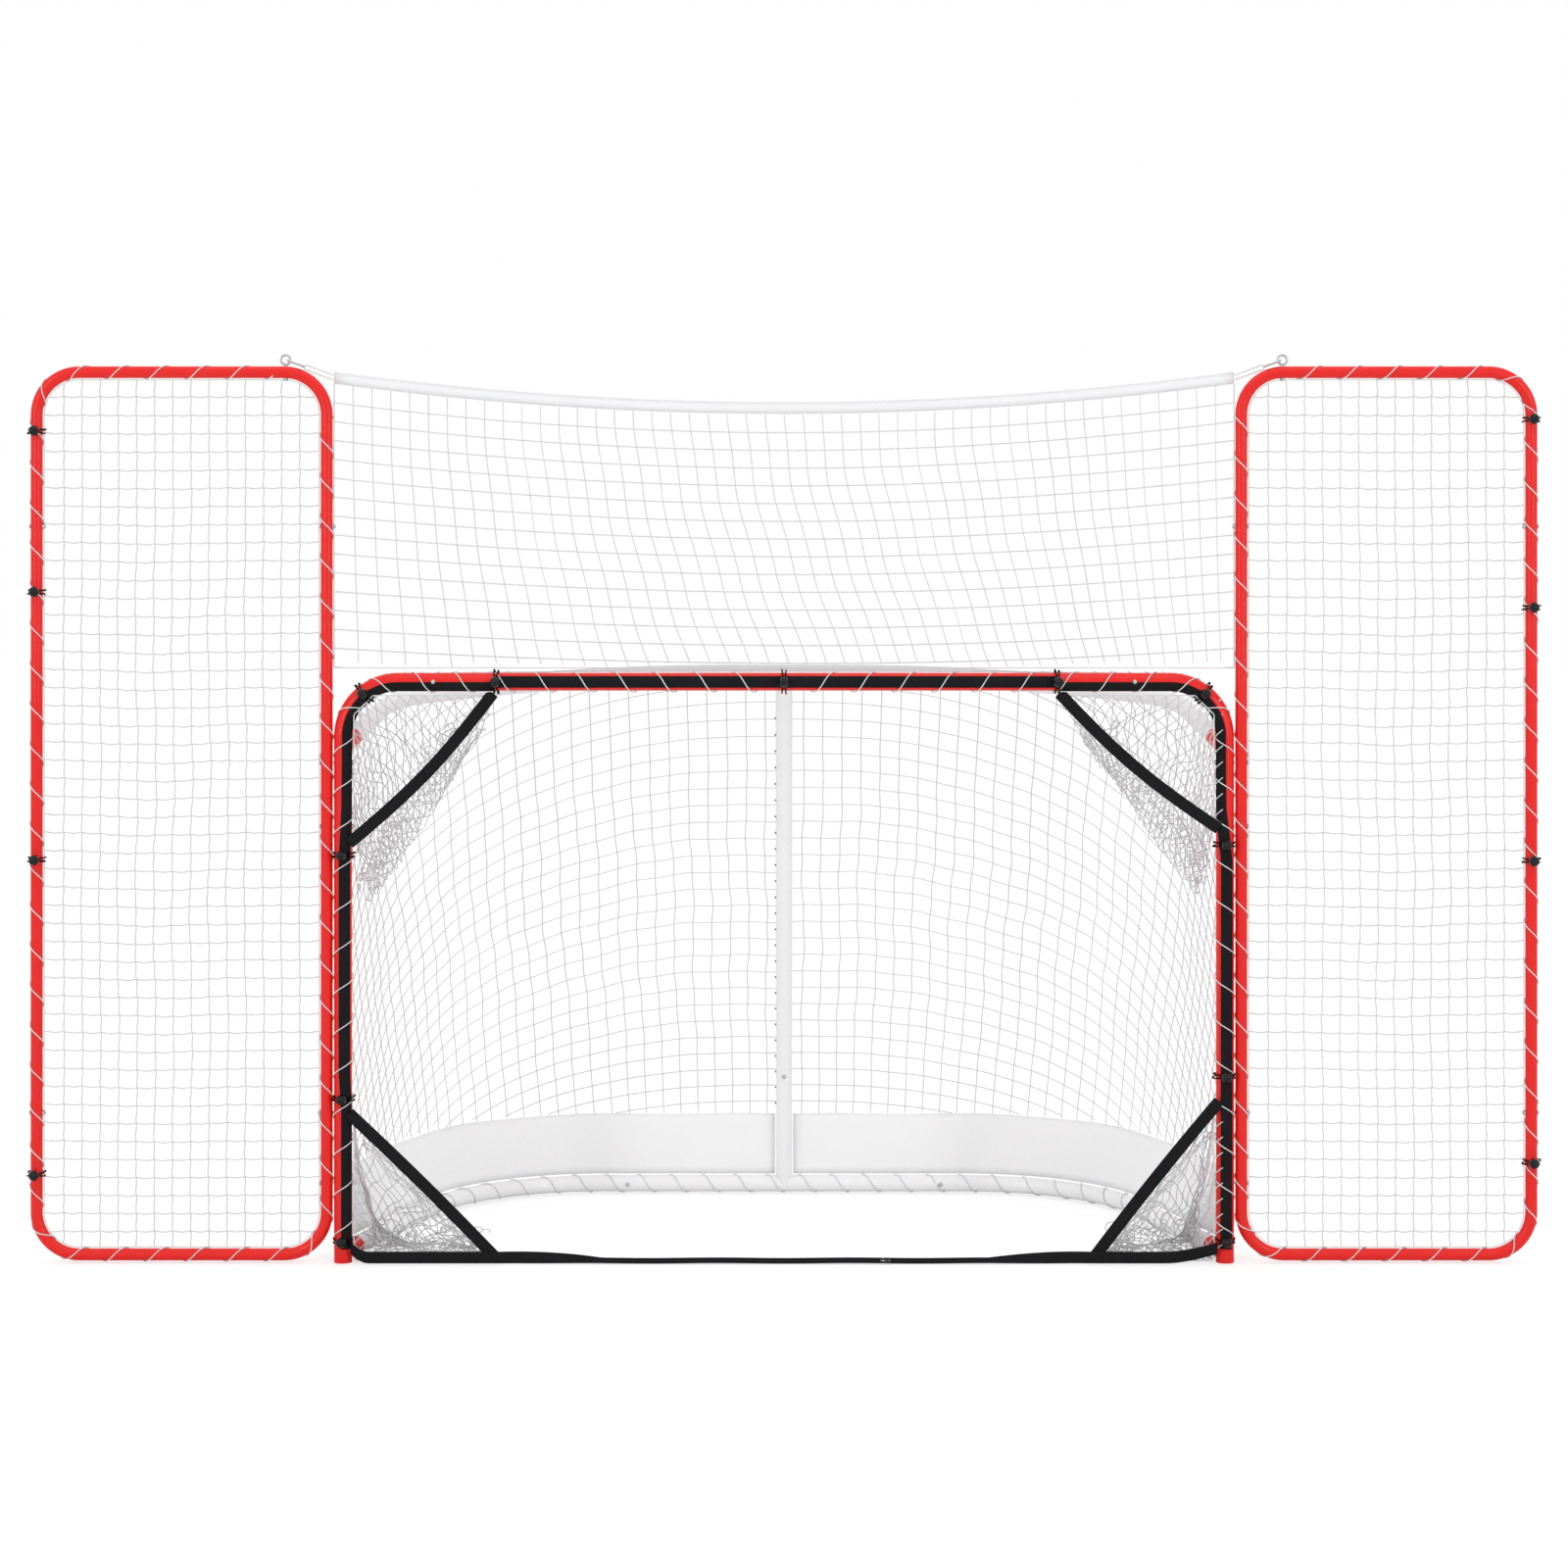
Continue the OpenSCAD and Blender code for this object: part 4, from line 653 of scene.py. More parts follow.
@dataclass
class Lacing:
    """White cord wound round the tubes through the edges of the nets."""

    steps: int = 18
    skirt_steps: int = 16
    web_middle: float = 128.0
    web_lift: float = 0.4
    web_spread: float = 1.6
    foot_gap: float = 18.0
    middle_gap: float = 24.0
    skirt_end: float = 35.0
    sides: int = 2

    def winding(
        self, route: Route, s0: float, s1: float, zero: float, hand: int, web: bool, tube: float
    ) -> Run:
        """Points of a cord wound round a route.

        Args:
            route: The tube's axis.
            s0: Where the cord starts, in millimetres along the route.
            s1: Where it ends.
            zero: Length at which the cord is on the outside.
            hand: Way round.
            web: Whether it passes over webbing at the front and inside.
            tube: Radius of the tube.

        Returns:
            Places in metres, on the right of the goal.
        """
        run: Run = []
        for i in range(int((s1 - s0) / SIZES.pitch * self.steps) + 1):
            s = s0 + i * SIZES.pitch / self.steps
            w = hand * (s - zero) / SIZES.pitch * math.tau
            p, out = route.at(s)
            r = tube + SIZES.lace + SIZES.lace_gap
            if web:
                face = max(0.0, math.cos(w + math.radians(self.web_middle)))
                r += (SIZES.web_t + self.web_lift) * min(1.0, self.web_spread * face)
            o = r * math.cos(w)
            run.append(spot(p.x + o * out.x, r * math.sin(w), p.y + o * out.y))
        return run

    def wings(self) -> None:
        """Cord round each wing."""
        route = wing_route()
        zero = route.length() - (SIZES.wing_hi - SIZES.wing_r) + SIZES.phase
        for name, side in SIDES.items():
            run = self.winding(route, 0, route.length(), zero, side, False, SIZES.wing_tube_r)
            cord = cords(f"wing_cord_{name}", [mirrored(run, side)], SIZES.lace, self.sides)
            dress(cord, CORD, f"wing_lacing_{name}")

    def goal(self) -> None:
        """Cord up each post and along half of the crossbar."""
        route = goal_route()
        start = SIZES.base_z + SIZES.tube_r + self.foot_gap
        zero = SIZES.phase + SIZES.pitch / 2
        for name, side in SIDES.items():
            run = self.winding(route, start, route.length() - self.middle_gap, zero, -1, True, SIZES.tube_r)
            cord = cords(f"goal_cord_{name}", [mirrored(run, side)], SIZES.lace, self.sides)
            dress(cord, CORD, f"goal_lacing_{name}")

    def skirt(self) -> None:
        """Cord round the base tube, through the hem of the skirt."""
        bow = SIZES.base()
        turns = math.floor(2 * (bow.length() - self.skirt_end) / SIZES.skirt_pitch) - 1
        count = turns * self.skirt_steps
        run: Run = []
        for i in range(count + 1):
            k = i - count / 2
            s = k * SIZES.skirt_pitch / self.skirt_steps
            x, depth, h = bow.at(abs(s))
            w = math.radians(270 + k * 360 / self.skirt_steps)
            r = SIZES.tube_r + SIZES.lace + SIZES.lace_gap
            o = r * math.cos(w)
            sx = -1 if s < 0 else 1
            up = SIZES.base_z + r * math.sin(w)
            run.append(spot(sx * (x + o * math.sin(h)), depth + o * math.cos(h), up))
        dress(cords("skirt_cord", [run], SIZES.lace, self.sides), CORD, "skirt_lacing")


# ---------- flat nets ----------


@dataclass
class WingNets:
    """Square net inside each wing, with a rope round its edge."""

    edge: float = 15.9
    pitch: float = 38.4
    margin: float = 12.0
    droop: float = 3.0
    sway: float = 0.9
    settle: float = 5.0
    slack: float = 4.0

    def reach(self, across: float, half_w: float, half_h: float, corner: float) -> float:
        """Half height of the net's rounded outline.

        Args:
            across: Distance across from its middle.
            half_w: Half of its width.
            half_h: Half of its height.
            corner: Radius of its corners.

        Returns:
            Half of the height there, in millimetres.
        """
        over = abs(across) - (half_w - corner)
        if over <= 0:
            return half_h
        return half_h - corner + math.sqrt(max(0.0, corner**2 - over**2))

    def hang(self, a: float) -> float:
        """Drop of a row between two columns."""
        return self.droop * abs(math.cos(math.pi * a / self.pitch))

    def kink(self, b: float) -> float:
        """Sideways turn of a column between two rows."""
        return self.sway * math.sin(math.tau * b / self.pitch)

    def build(self) -> None:
        """Weaves both nets and their edge ropes."""
        s = SIZES
        half_w = (s.wing_out - s.wing_in) / 2 - self.edge
        half_h = (s.wing_hi - s.wing_lo) / 2 - self.edge
        mid_x, mid_z = (s.wing_out + s.wing_in) / 2, (s.wing_hi + s.wing_lo) / 2
        corner = s.wing_r - self.edge
        for name, side in SIDES.items():
            rng = random.Random(11 + side)
            phase = [rng.uniform(0, math.tau) for _ in range(6)]

            def place(a: float, b: float) -> Vector:
                """Place on the slack net.

                Args:
                    a: Distance across from its middle.
                    b: Distance up from its middle.

                Returns:
                    The place in metres.
                """
                fall = (1 - (a / half_w) ** 2) * (1 - (b / half_h) ** 2)
                da = 3.2 * math.sin(b / 95 + phase[0]) + 1.6 * math.sin(a / 40 + b / 31 + phase[1])
                db = 2.6 * math.sin(a / 70 + phase[2]) + 1.4 * math.sin(b / 43 + a / 27 + phase[3])
                dy = self.slack * math.sin(a / 120 + phase[4]) * math.sin(b / 240 + phase[5])
                up = mid_z + b + db * fall - self.settle * fall
                return spot(side * (mid_x + a + da * fall), dy * fall, up)

            runs: list[Run] = []
            crossings: list[Vector] = []
            cols = [self.pitch * (k + 0.5) for k in range(-8, 8)]
            cols = [a for a in cols if abs(a) < half_w - self.margin]
            rows = [self.pitch * k for k in range(-25, 26) if abs(self.pitch * k) < half_h - self.margin]
            for a in cols:
                h = self.reach(a, half_w, half_h, corner)
                runs.append([place(a + self.kink(b), b) for b in spread(-h, h, self.pitch / 4)])
                crossings += [place(a, b) for b in rows if abs(b) < h]
            for b in rows:
                w = self.reach(b, half_h, half_w, corner)
                runs.append([place(a, b - self.hang(a)) for a in spread(-w, w, self.pitch / 4)])
            net = cords(f"wing_mesh_{name}", runs, s.strand, 0)
            dress(net, NETTING, f"wing_net_{name}")
            dress(knots(f"wing_knots_{name}", crossings, s.knot), NETTING)
            rope = [
                *arc(mid_x + half_w - corner, mid_z + half_h - corner, corner, 90, -90),
                *arc(mid_x + half_w - corner, mid_z - half_h + corner, corner, 0, -90),
                *arc(mid_x - half_w + corner, mid_z - half_h + corner, corner, 270, -90),
                *arc(mid_x - half_w + corner, mid_z + half_h - corner, corner, 180, -90),
            ]
            ring = [spot(side * x, 0, z) for x, z in rope]
            dress(cords(f"wing_edge_{name}", [ring], s.edge_rope, closed=True), CORD)


@dataclass
class Backstop:
    """Net over the goal, its upper strap and the cord loops at the strap's ends."""

    half: float = 952.5
    low: float = 1257.5
    mid_z: float = 1820.0
    end_z: float = 1884.0
    width: float = 25.0
    pitch: float = 40.0
    rows: int = 15
    height: float = 560.0
    shift: float = 70.0
    top_hang: float = 66.0
    low_hang: float = 32.0
    leaning: float = 130.0
    thick: float = 1.6
    loop_r: float = 4.8
    loop_cord: float = 1.5
    hook_reach: float = 47.0
    stitch: float = 0.3
    stitch_half: float = 1.4

    def sag(self, x: float) -> float:
        """Height of the strap's upper edge at x."""
        return self.mid_z + (self.end_z - self.mid_z) * (x / self.half) ** 2

    def drop(self, x: float, d: float) -> Vector:
        """Place on a hanging row of the net.

        Args:
            x: Distance across.
            d: Distance below the height of the strap's ends.

        Returns:
            The place in metres.
        """
        share = min(1.0, max(0.0, d / self.height))
        shift = self.shift * share * (1 - abs(x) / self.half)
        hang = self.top_hang - (self.top_hang - self.low_hang) * share
        hang *= 1 - ((x - shift) / self.half) ** 2
        dx = 2.5 * math.sin(d / 37 + x / 150) * (1 - (x / self.half) ** 2)
        return spot(x + dx, 3 * math.sin(x / 210 + d / 90), self.end_z - self.width - d - hang)

    def lean(self, x: float, d: float) -> float:
        """Where the column that starts at x is, d below the strap."""
        share = max(0.0, d / self.height)
        return x + self.leaning * (1 - (x / self.half) ** 2) * share**1.6

    def net(self) -> None:
        """Weaves the rows, the leaning columns and the edge rope."""
        floor = self.low * MM
        runs: list[Run] = []
        for d in (self.pitch * (j + 1) for j in range(self.rows)):
            row = [self.drop(x, d) for x in spread(-self.half, self.half, self.pitch / 2)]
            piece: Run = []
            for p in row:
                if p.z > floor:
                    piece.append(p)
                elif piece:
                    runs.append(piece)
                    piece = []
            runs.append(piece)
        for x in spread(-self.half, self.half, self.pitch):
            col = [self.drop(self.lean(x, d), d) for d in spread(0, self.height + 80, self.pitch / 3)]
            runs.append([p for p in col if p.z > floor])
        net = cords("backstop_mesh", [r for r in runs if len(r) > 1], SIZES.strand, 0)
        dress(net, NETTING, "backstop_net")
        top = self.end_z - self.width
        sides = [[spot(x, 0, self.low), spot(x, 0, top)] for x in (-self.half, self.half)]
        bottom = [spot(x, 0, self.low) for x in spread(-self.half, self.half, 60)]
        dress(cords("backstop_edge", [*sides, bottom], SIZES.edge_rope), CORD)

    def strap(self) -> None:
        """The strap, its stitching and its loops."""

        def face(a: float, b: float) -> Vector:
            """Place on the strap."""
            x = self.half * (2 * a - 1)
            return spot(x, 0, self.sag(x) - self.width * b)

        tape = strip("backstop_tape", face, (2 * self.half + 6, self.width), (60, 2), self.thick)
        dress(tape, TAPE, "backstop_strap")
        rows = []
        for b in (0.1, 0.9):
            for a in spread(0.002, 0.998, 0.0042):
                p = face(a, b)
                rows.append([p + Vector((end * self.stitch_half, -1, 0)) * MM for end in (-1, 1)])
        dress(cords("backstop_stitches", rows, self.stitch, 0), CORD)
        eye = Vector((SIZES.eye_x, SIZES.eye_z))
        end = Vector((self.half, self.end_z - self.width / 2))
        along = (end - eye).normalized()
        up = Vector((-along.y, along.x))
        loops: list[Run] = []
        for side in SIDES.values():
            far = end - along * ((end - eye).length - self.hook_reach)
            ring = []
            for w in (math.radians(a) for a in spread(90, 270, 20)):
                ring.append(far + along * self.loop_r * math.cos(w) + up * self.loop_r * math.sin(w))
            path = [end + up * self.loop_r, *ring, end - up * self.loop_r]
            loops.append([spot(side * p.x, 0, p.y) for p in path])
        dress(cords("backstop_loops", loops, self.loop_cord, 2), CORD)


# ---------- goal net and skirt ----------


@dataclass
class GoalNet:
    """The net from the crossbar over the roof tube and down to the skirt, and the two halves of the skirt."""

    off: float = 20.8
    end_gap: float = 18.0
    top_pitch: float = 45.0
    low_pitch: float = 40.3
    row_pitch: float = 39.5
    lace_depth: float = 22.5
    columns: int = 35
    rows: int = 50
    roof_columns: int = 25
    slack_h: float = 950.0
    top_z: float = 1262.0
    sag: float = 88.0
    sag_half: float = 590.0
    skirt_off: float = 6.0
    skirt_thick: float = 0.9
    skirt_start: float = 22.0
    skirt_stop: float = 16.0
    tie_top: float = 1195.0
    tie_pitch: float = 38.0
    tie_knot: float = 2.6
    post_foot: float = 22.0
    post_rise: float = 1206.0

    def bow_out(self, bow: Bow, u: float, off: float) -> tuple[float, float]:
        """Place off a bow's outside, u from -1 to 1."""
        x, depth, h = bow.at(abs(u) * (bow.length() - self.end_gap))
        return math.copysign(1, u) * (x + off * math.sin(h)), depth + off * math.cos(h)

    def roof_edge(self, u: float) -> Vector:
        """Where the net leaves the roof tube.

        Args:
            u: Share of the roof's half route, from -1 on the left to 1 on the right.

        Returns:
            The place across, behind and up, in millimetres.
        """
        x, d = self.bow_out(SIZES.roof(), u, self.off)
        tilt = SIZES.tilt()
        back = d * math.cos(tilt) - self.off * math.sin(tilt)
        return Vector((x, back, SIZES.roof_foot + d * math.sin(tilt) + self.off * math.cos(tilt)))

    def frame_edge(self, u: float, route: Route) -> Vector:
        """Where the net is laced behind crossbar, corner and post.

        Args:
            u: Share of the way to each roof foot, from -1 to 1.
            route: The goal's own route.

        Returns:
            The place across, behind and up, in millimetres.
        """
        half = route.length()
        p, out = route.at(half - abs(u) * (half - SIZES.roof_foot - SIZES.tube_r))
        x = p.x + self.off * out.x
        return Vector((math.copysign(1, u) * x, self.lace_depth, p.y + self.off * out.y))

    def wall(self, u: float, z: float) -> Vector:
        """Place on the net's back and sides.

        Args:
            u: Share of the half route, from -1 to 1.
            z: Height in millimetres.

        Returns:
            The place across, behind and up, in millimetres.
        """
        x, d = self.bow_out(SIZES.base(), u, self.off)
        low, top = Vector((x, d, SIZES.base_z)), self.roof_edge(u)
        return low + (top - low) * (z - low.z) / (top.z - low.z)

    def weave(self) -> None:
        """Weaves the net's columns and its drooping rows."""
        base_len, roof_len = SIZES.base().length(), SIZES.roof().length()
        floor = SIZES.skirt_top + 1
        rng = random.Random(5)
        wob = [rng.uniform(0, math.tau) for _ in range(4)]
        runs: list[Run] = []

        def point(u: float, z: float) -> Vector:
            """Place on the slack net.

            Args:
                u: Share of the half route, from -1 to 1.
                z: Height in millimetres.

            Returns:
                The place in metres.
            """
            u = max(-1.0, min(1.0, u))
            slack = math.sin(math.pi * min(1.0, max(0.0, (z - floor) / self.slack_h))) * (1 - abs(u) ** 6)
            p = self.wall(u, z)
            dx = (3.5 * math.sin(z / 61 + 9 * u + wob[0]) + 1.5 * math.sin(z / 17 + wob[1])) * slack
            dz = (3.0 * math.sin(17 * u + wob[2]) + 1.5 * math.sin(u * 61 + wob[3])) * slack
            return spot(p.x + dx, p.y + dx * 0.3, p.z + dz)

        def share(i: float, z: float) -> float:
            """Column i's place between the middle and the post at height z."""
            k = (z - SIZES.base_z) / (SIZES.bar_z - SIZES.base_z)
            return i * (self.low_pitch / base_len * (1 - k) + self.top_pitch / roof_len * k)

        for i in range(-self.columns, self.columns + 1):
            column: Run = []
            for z in reversed(spread(floor, self.top_z, self.row_pitch / 3)):
                u = share(i + 0.02, z)
                if abs(u) > 1 or z > self.roof_edge(u).z:
                    continue
                column.append(point(u, z))
            runs.append(column)

        def row_height(z0: float, u: float) -> float:
            """Height of the row that is at z0 in the middle."""
            s = abs(u) * (base_len + (roof_len - base_len) * 0.5)
            return z0 - self.sag * (s / self.sag_half) ** 2.5

        for j in range(self.rows):
            row: Run = []
            z0 = floor + 30 + j * self.row_pitch
            for u in spread(-1, 1, 0.0125):
                z = row_height(z0, u)
                if floor < z < self.roof_edge(u).z:
                    row.append(point(u, z))
                else:
                    runs.append(row)
                    row = []
            runs.append(row)
        route = goal_route()
        for i in range(-self.roof_columns, self.roof_columns + 1):
            u = i * self.top_pitch / roof_len
            a, b = self.frame_edge(u, route), self.roof_edge(u)
            runs.append([spot(*(a + (b - a) * t)) for t in spread(0, 1, 0.1)])
        for t in spread(0.08, 1, 0.077):
            rail = []
            for u in spread(-1, 1, 0.02):
                a, b = self.frame_edge(u, route), self.roof_edge(u)
                rail.append(spot(*(a + (b - a) * t)))
            runs.append(rail)
        net = cords("goal_mesh", [r for r in runs if len(r) > 1], SIZES.strand, 0)
        dress(net, NETTING, "goal_net")

    def skirts(self) -> None:
        """Both halves of the skirt, sewn to the net's lower edge and laced to the base."""
        bow = SIZES.base()
        height = SIZES.skirt_top - SIZES.skirt_low
        start, stop = self.skirt_start / bow.length(), 1 - self.skirt_stop / bow.length()
        for name, side in SIDES.items():

            def face(a: float, b: float) -> Vector:
                """Place on the skirt, with its soft folds.

                Args:
                    a: Share along it, from the middle.
                    b: Share up it.

                Returns:
                    The place in metres.
                """
                u = side * (start + (stop - start) * a)
                x, d = self.bow_out(bow, u, self.skirt_off)
                low = Vector((x, d, SIZES.skirt_low))
                p = low + (self.wall(u, SIZES.skirt_top) - low) * b
                h = bow.at(abs(u) * (bow.length() - self.end_gap))[2]
                fold = 1.6 * math.sin(a * 19 + side) + 0.8 * math.sin(a * 47 + 3 * b)
                fold *= math.sin(math.pi * b)
                sagging = 1.2 * math.sin(a * 25) * b
                return spot(p.x + side * fold * math.sin(h), p.y + fold * math.cos(h), p.z + sagging)

            length = (stop - start) * bow.length()
            cloth = strip(f"skirt_cloth_{name}", face, (length, height), (110, 8), self.skirt_thick)
            dress(cloth, SKIRT, f"skirt_{name}")
            # Painted shadow: short dark grey dashes along the hem stand for the shadow gaps between the skirt
            # and the base tube, not for real stitches.
            rng = random.Random(3 + side)
            stitches = []
            for a in spread(0.004, 0.996, 0.0105):
                tall = rng.uniform(0.01, 0.05)
                pair = (face(a - 0.0022, tall), face(a + rng.uniform(0.0005, 0.003), 0.01))
                stitches.append([p + (pair[0] - face(a, -0.4)).normalized() * 0.0004 for p in pair])
            dress(cords(f"skirt_shadow_dashes_{name}", stitches, 0.55, 0), SHADE_GREY)

    def post_ties(self) -> None:
        """Knots that tie the net's rows to the centre post; the ties are white, and their grey is painted
        shade.
        """
        bottom = SIZES.skirt_top + 30
        places = []
        for k in range(int((self.tie_top - bottom) / self.tie_pitch)):
            z = bottom + self.tie_pitch * k
            share = (z - self.post_foot) / self.post_rise
            lean = SIZES.base_depth - (SIZES.base_depth - SIZES.roof_depth) * share
            places.append(spot(-SIZES.tube_r - 1.0, lean - 4, z))
        # Painted shade: the knots are grey to stand for the shade on the white ties.
        dress(knots("post_knots", places, self.tie_knot), SHADE_GREY)


# ---------- targets ----------


@dataclass
class Target:
    """Webbing of one corner: its reach along the bar or floor and up the post, and the pocket behind it."""

    side: int
    along: float
    up: float
    top: bool
    bar_drop: float = 4.0
    floor_gap: float = 0.3

    @property
    def corner_z(self) -> float:
        """Height of the corner."""
        return SIZES.goal_h - self.bar_drop if self.top else self.floor_gap

    @property
    def dir(self) -> int:
        """Way from the corner along the post."""
        return -1 if self.top else 1

    @property
    def name(self) -> str:
        """Name of the corner."""
        return ("top_" if self.top else "bottom_") + ("left" if self.side < 0 else "right")


@dataclass
class Targets:
    """Black webbing on the frame, its diagonals, the pockets behind them and the elastic ties."""

    corners: tuple[Target, ...] = (
        Target(-1, 301, 318, True),
        Target(1, 334, 287, True),
        Target(-1, 318, 318, False),
        Target(1, 270, 343, False),
    )
    turns: tuple[tuple[float, float, float], ...] = (
        (0, 33, 0), (330, 33, -3), (400, 18, -3), (850, 18, -5), (960, 34, 36), (1060, 38, 38), (5000, 38, 38)
    )
    foot: float = 30.0
    buckle_x: float = 215.0
    floor_depth: float = 21.5
    floor_turn: float = 77.0
    lie_over: float = 210.0
    floor_waver: float = 1.2
    left_tuck: float = 7.0
    right_tuck: float = 4.0
    left_climb: float = 34.0
    right_climb: float = 105.0
    climb_height: float = 20.0
    diagonal_depth: float = 20.6
    top_bow: float = 15.0
    low_bow: float = 3.0
    loop_points: int = 36
    goal_loop: float = 24.0
    wing_loop: float = 17.4
    squeezed: float = 20.4
    second_turn: float = 1.8
    cross: float = 4.5
    left_ties: tuple[float, ...] = (46, 347, 862)
    right_ties: tuple[float, ...] = (46, 394, 884)
    bar_ties: tuple[float, ...] = (-609, 0, 578)
    left_wing_ties: tuple[float, ...] = (187, 852, 1418, 1758)
    right_wing_ties: tuple[float, ...] = (212, 850, 1385, 1783)
    corner_tie: float = 52.0

    def round_tube(self, b: float, turn: float) -> tuple[float, float]:
        """Outward and depth offsets of the webbing's face, b across it.

        Args:
            b: Share across the webbing.
            turn: Turn of its middle from the front towards the opening, in degrees.

        Returns:
            Offsets in millimetres: away from the opening, and behind.
        """
        r = SIZES.tube_r + SIZES.web_gap + SIZES.web_t / 2
        w = math.radians(turn) + (b - 0.5) * SIZES.web_w / r
        return -r * math.sin(w), -r * math.cos(w)

    def lie(self, s: float, side: int) -> float:
        """Turn of the webbing from the front towards the opening.

        Args:
            s: Length along the frame from the post's foot.
            side: The goal's left (-1) or right (1).

        Returns:
            The turn in degrees.
        """
        column = 1 if side < 0 else 2
        for low, high in zip(self.turns, self.turns[1:]):
            if s <= high[0]:
                return low[column] + (high[column] - low[column]) * (s - low[0]) / (high[0] - low[0])
        return self.turns[-1][column]

    def frame_webbing(self) -> None:
        """Webbing up the posts, round the corners and along the crossbar."""
        route = goal_route()
        for corner in (c for c in self.corners if c.top):
            name = "left" if corner.side < 0 else "right"
            end = route.length() - (SIZES.web_in - corner.along)

            def face(a: float, b: float) -> Vector:
                """Place on the webbing of this side.

                Args:
                    a: Share along it, from the foot.
                    b: Share across it.

                Returns:
                    The place in metres.
                """
                s = self.foot + (end - self.foot) * a
                p, out = route.at(s)
                o, y = self.round_tube(b, self.lie(s, corner.side))
                return spot(corner.side * (p.x + o * out.x), y, p.y + o * out.y)

            band = strip(f"side_webbing_{name}", face, (end - self.foot, SIZES.web_w), (140, 6), SIZES.web_t)
            dress(band, WEBBING, f"target_side_strap_{name}")
        left, right = self.corners[0], self.corners[1]
        x0, x1 = left.along - SIZES.web_in, SIZES.web_in - right.along

        def bar_face(a: float, b: float) -> Vector:
            """Place on the crossbar's webbing."""
            o, y = self.round_tube(b, 0)
            return spot(x0 + (x1 - x0) * a, y, SIZES.bar_z + o)

        band = strip("bar_webbing", bar_face, (x1 - x0, SIZES.web_w), (40, 6), SIZES.web_t)
        dress(band, WEBBING, "target_top_strap")

    def floor_webbing(self) -> None:
        """Webbing on the floor between the posts, in two pieces that meet at the buckle."""
        for corner in (c for c in self.corners if not c.top):
            name = "left" if corner.side < 0 else "right"
            x_up = SIZES.web_in - corner.along
            left = corner.side < 0
            inner = self.left_tuck - self.buckle_x if left else self.buckle_x - self.right_tuck
            climb_over = self.left_climb if left else self.right_climb

            def face(a: float, b: float) -> Vector:
                """Place on the webbing, upright beside the pocket and flat towards the buckle.

                Args:
                    a: Share along it, from the post.
                    b: Share across it.

                Returns:
                    The place in metres.
                """
                x = SIZES.web_in + (inner - SIZES.web_in) * a
                lie = min(1.0, max(0.0, (x_up - x) / self.lie_over))
                w = lie * math.radians(self.floor_turn)
                climb = self.climb_height * max(0.0, 1 - (SIZES.web_in - x) / climb_over) ** 1.6
                y = 25 * b * math.sin(w) - self.floor_depth
                waver = self.floor_waver * (1 + math.sin(x / 90) ** 2 * lie)
                z = waver + climb + 24.6 * b * math.cos(w)
                return spot(corner.side * x, y, z)

            size = (SIZES.web_in - inner, SIZES.web_w)
            band = strip(f"floor_webbing_{name}", face, size, (120, 4), SIZES.web_t)
            dress(band, WEBBING, f"target_bottom_strap_{name}")

    def diagonals(self) -> None:
        """The four diagonal bands, one piece each, and all stand for one node."""
        for corner in self.corners:

            def face(a: float, b: float) -> Vector:
                """Place on the band.

                Args:
                    a: Share along it, from the bar or floor to the post.
                    b: Share across it.

                Returns:
                    The place in metres.
                """
                start = Vector((SIZES.web_in - corner.along, corner.corner_z))
                end = Vector((SIZES.web_in + 4, corner.corner_z + corner.dir * corner.up))
                along = (end - start).normalized()
                across = Vector((-along.y, along.x))
                bow = self.top_bow if corner.top else self.low_bow
                aside = (b - 0.5) * SIZES.web_w + bow * math.sin(math.pi * a) * corner.dir
                p = start + (end - start) * a + across * aside
                height = min(SIZES.goal_h - 2, p.y) if corner.top else max(1.0, p.y)
                return spot(corner.side * p.x, 2 * math.sin(math.pi * a) - self.diagonal_depth, height)

            length = math.hypot(corner.along, corner.up)
            band = strip(f"diagonal_{corner.name}", face, (length, SIZES.web_w), (40, 4), SIZES.web_t)
            dress(band, WEBBING)
        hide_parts("target_diagonals")

    def pockets(self) -> None:
        """Net bags behind the diagonals."""
        for corner in self.corners:
            Pocket(corner).build()

    def ties(self) -> None:
        """Elastic loops that cross in front of each tube and carry a ball."""
        goal_runs: list[Run] = []
        s = SIZES
        for side, heights in ((-1, self.left_ties), (1, self.right_ties)):
            for z in heights:
                goal_runs += self.loop((side * s.post_x, z), (0.0, 1.0), side, True)
        for x in self.bar_ties:
            goal_runs += self.loop((x, s.bar_z), (1.0, 0.0), 0, True)
        for side in (-1, 1):
            w = math.radians(self.corner_tie)
            cx = s.post_x - s.corner_r + s.corner_r * math.cos(w)
            cz = s.bend_z + s.corner_r * math.sin(w)
            goal_runs += self.loop((side * cx, cz), (-side * math.sin(w), math.cos(w)), 0, True)
        elastics = cords("target_elastics", goal_runs, s.elastic, 2, closed=True)
        dress(elastics, ELASTIC, "target_tie_loops")
        wing_runs: list[Run] = []
        for side, heights in ((-1, self.left_wing_ties), (1, self.right_wing_ties)):
            for z in heights:
                wing_runs += self.loop((side * s.wing_out, z), (0.0, 1.0), 0, False)
        dress(cords("wing_elastics", wing_runs, s.elastic, 2, closed=True), ELASTIC, "wing_tie_loops")

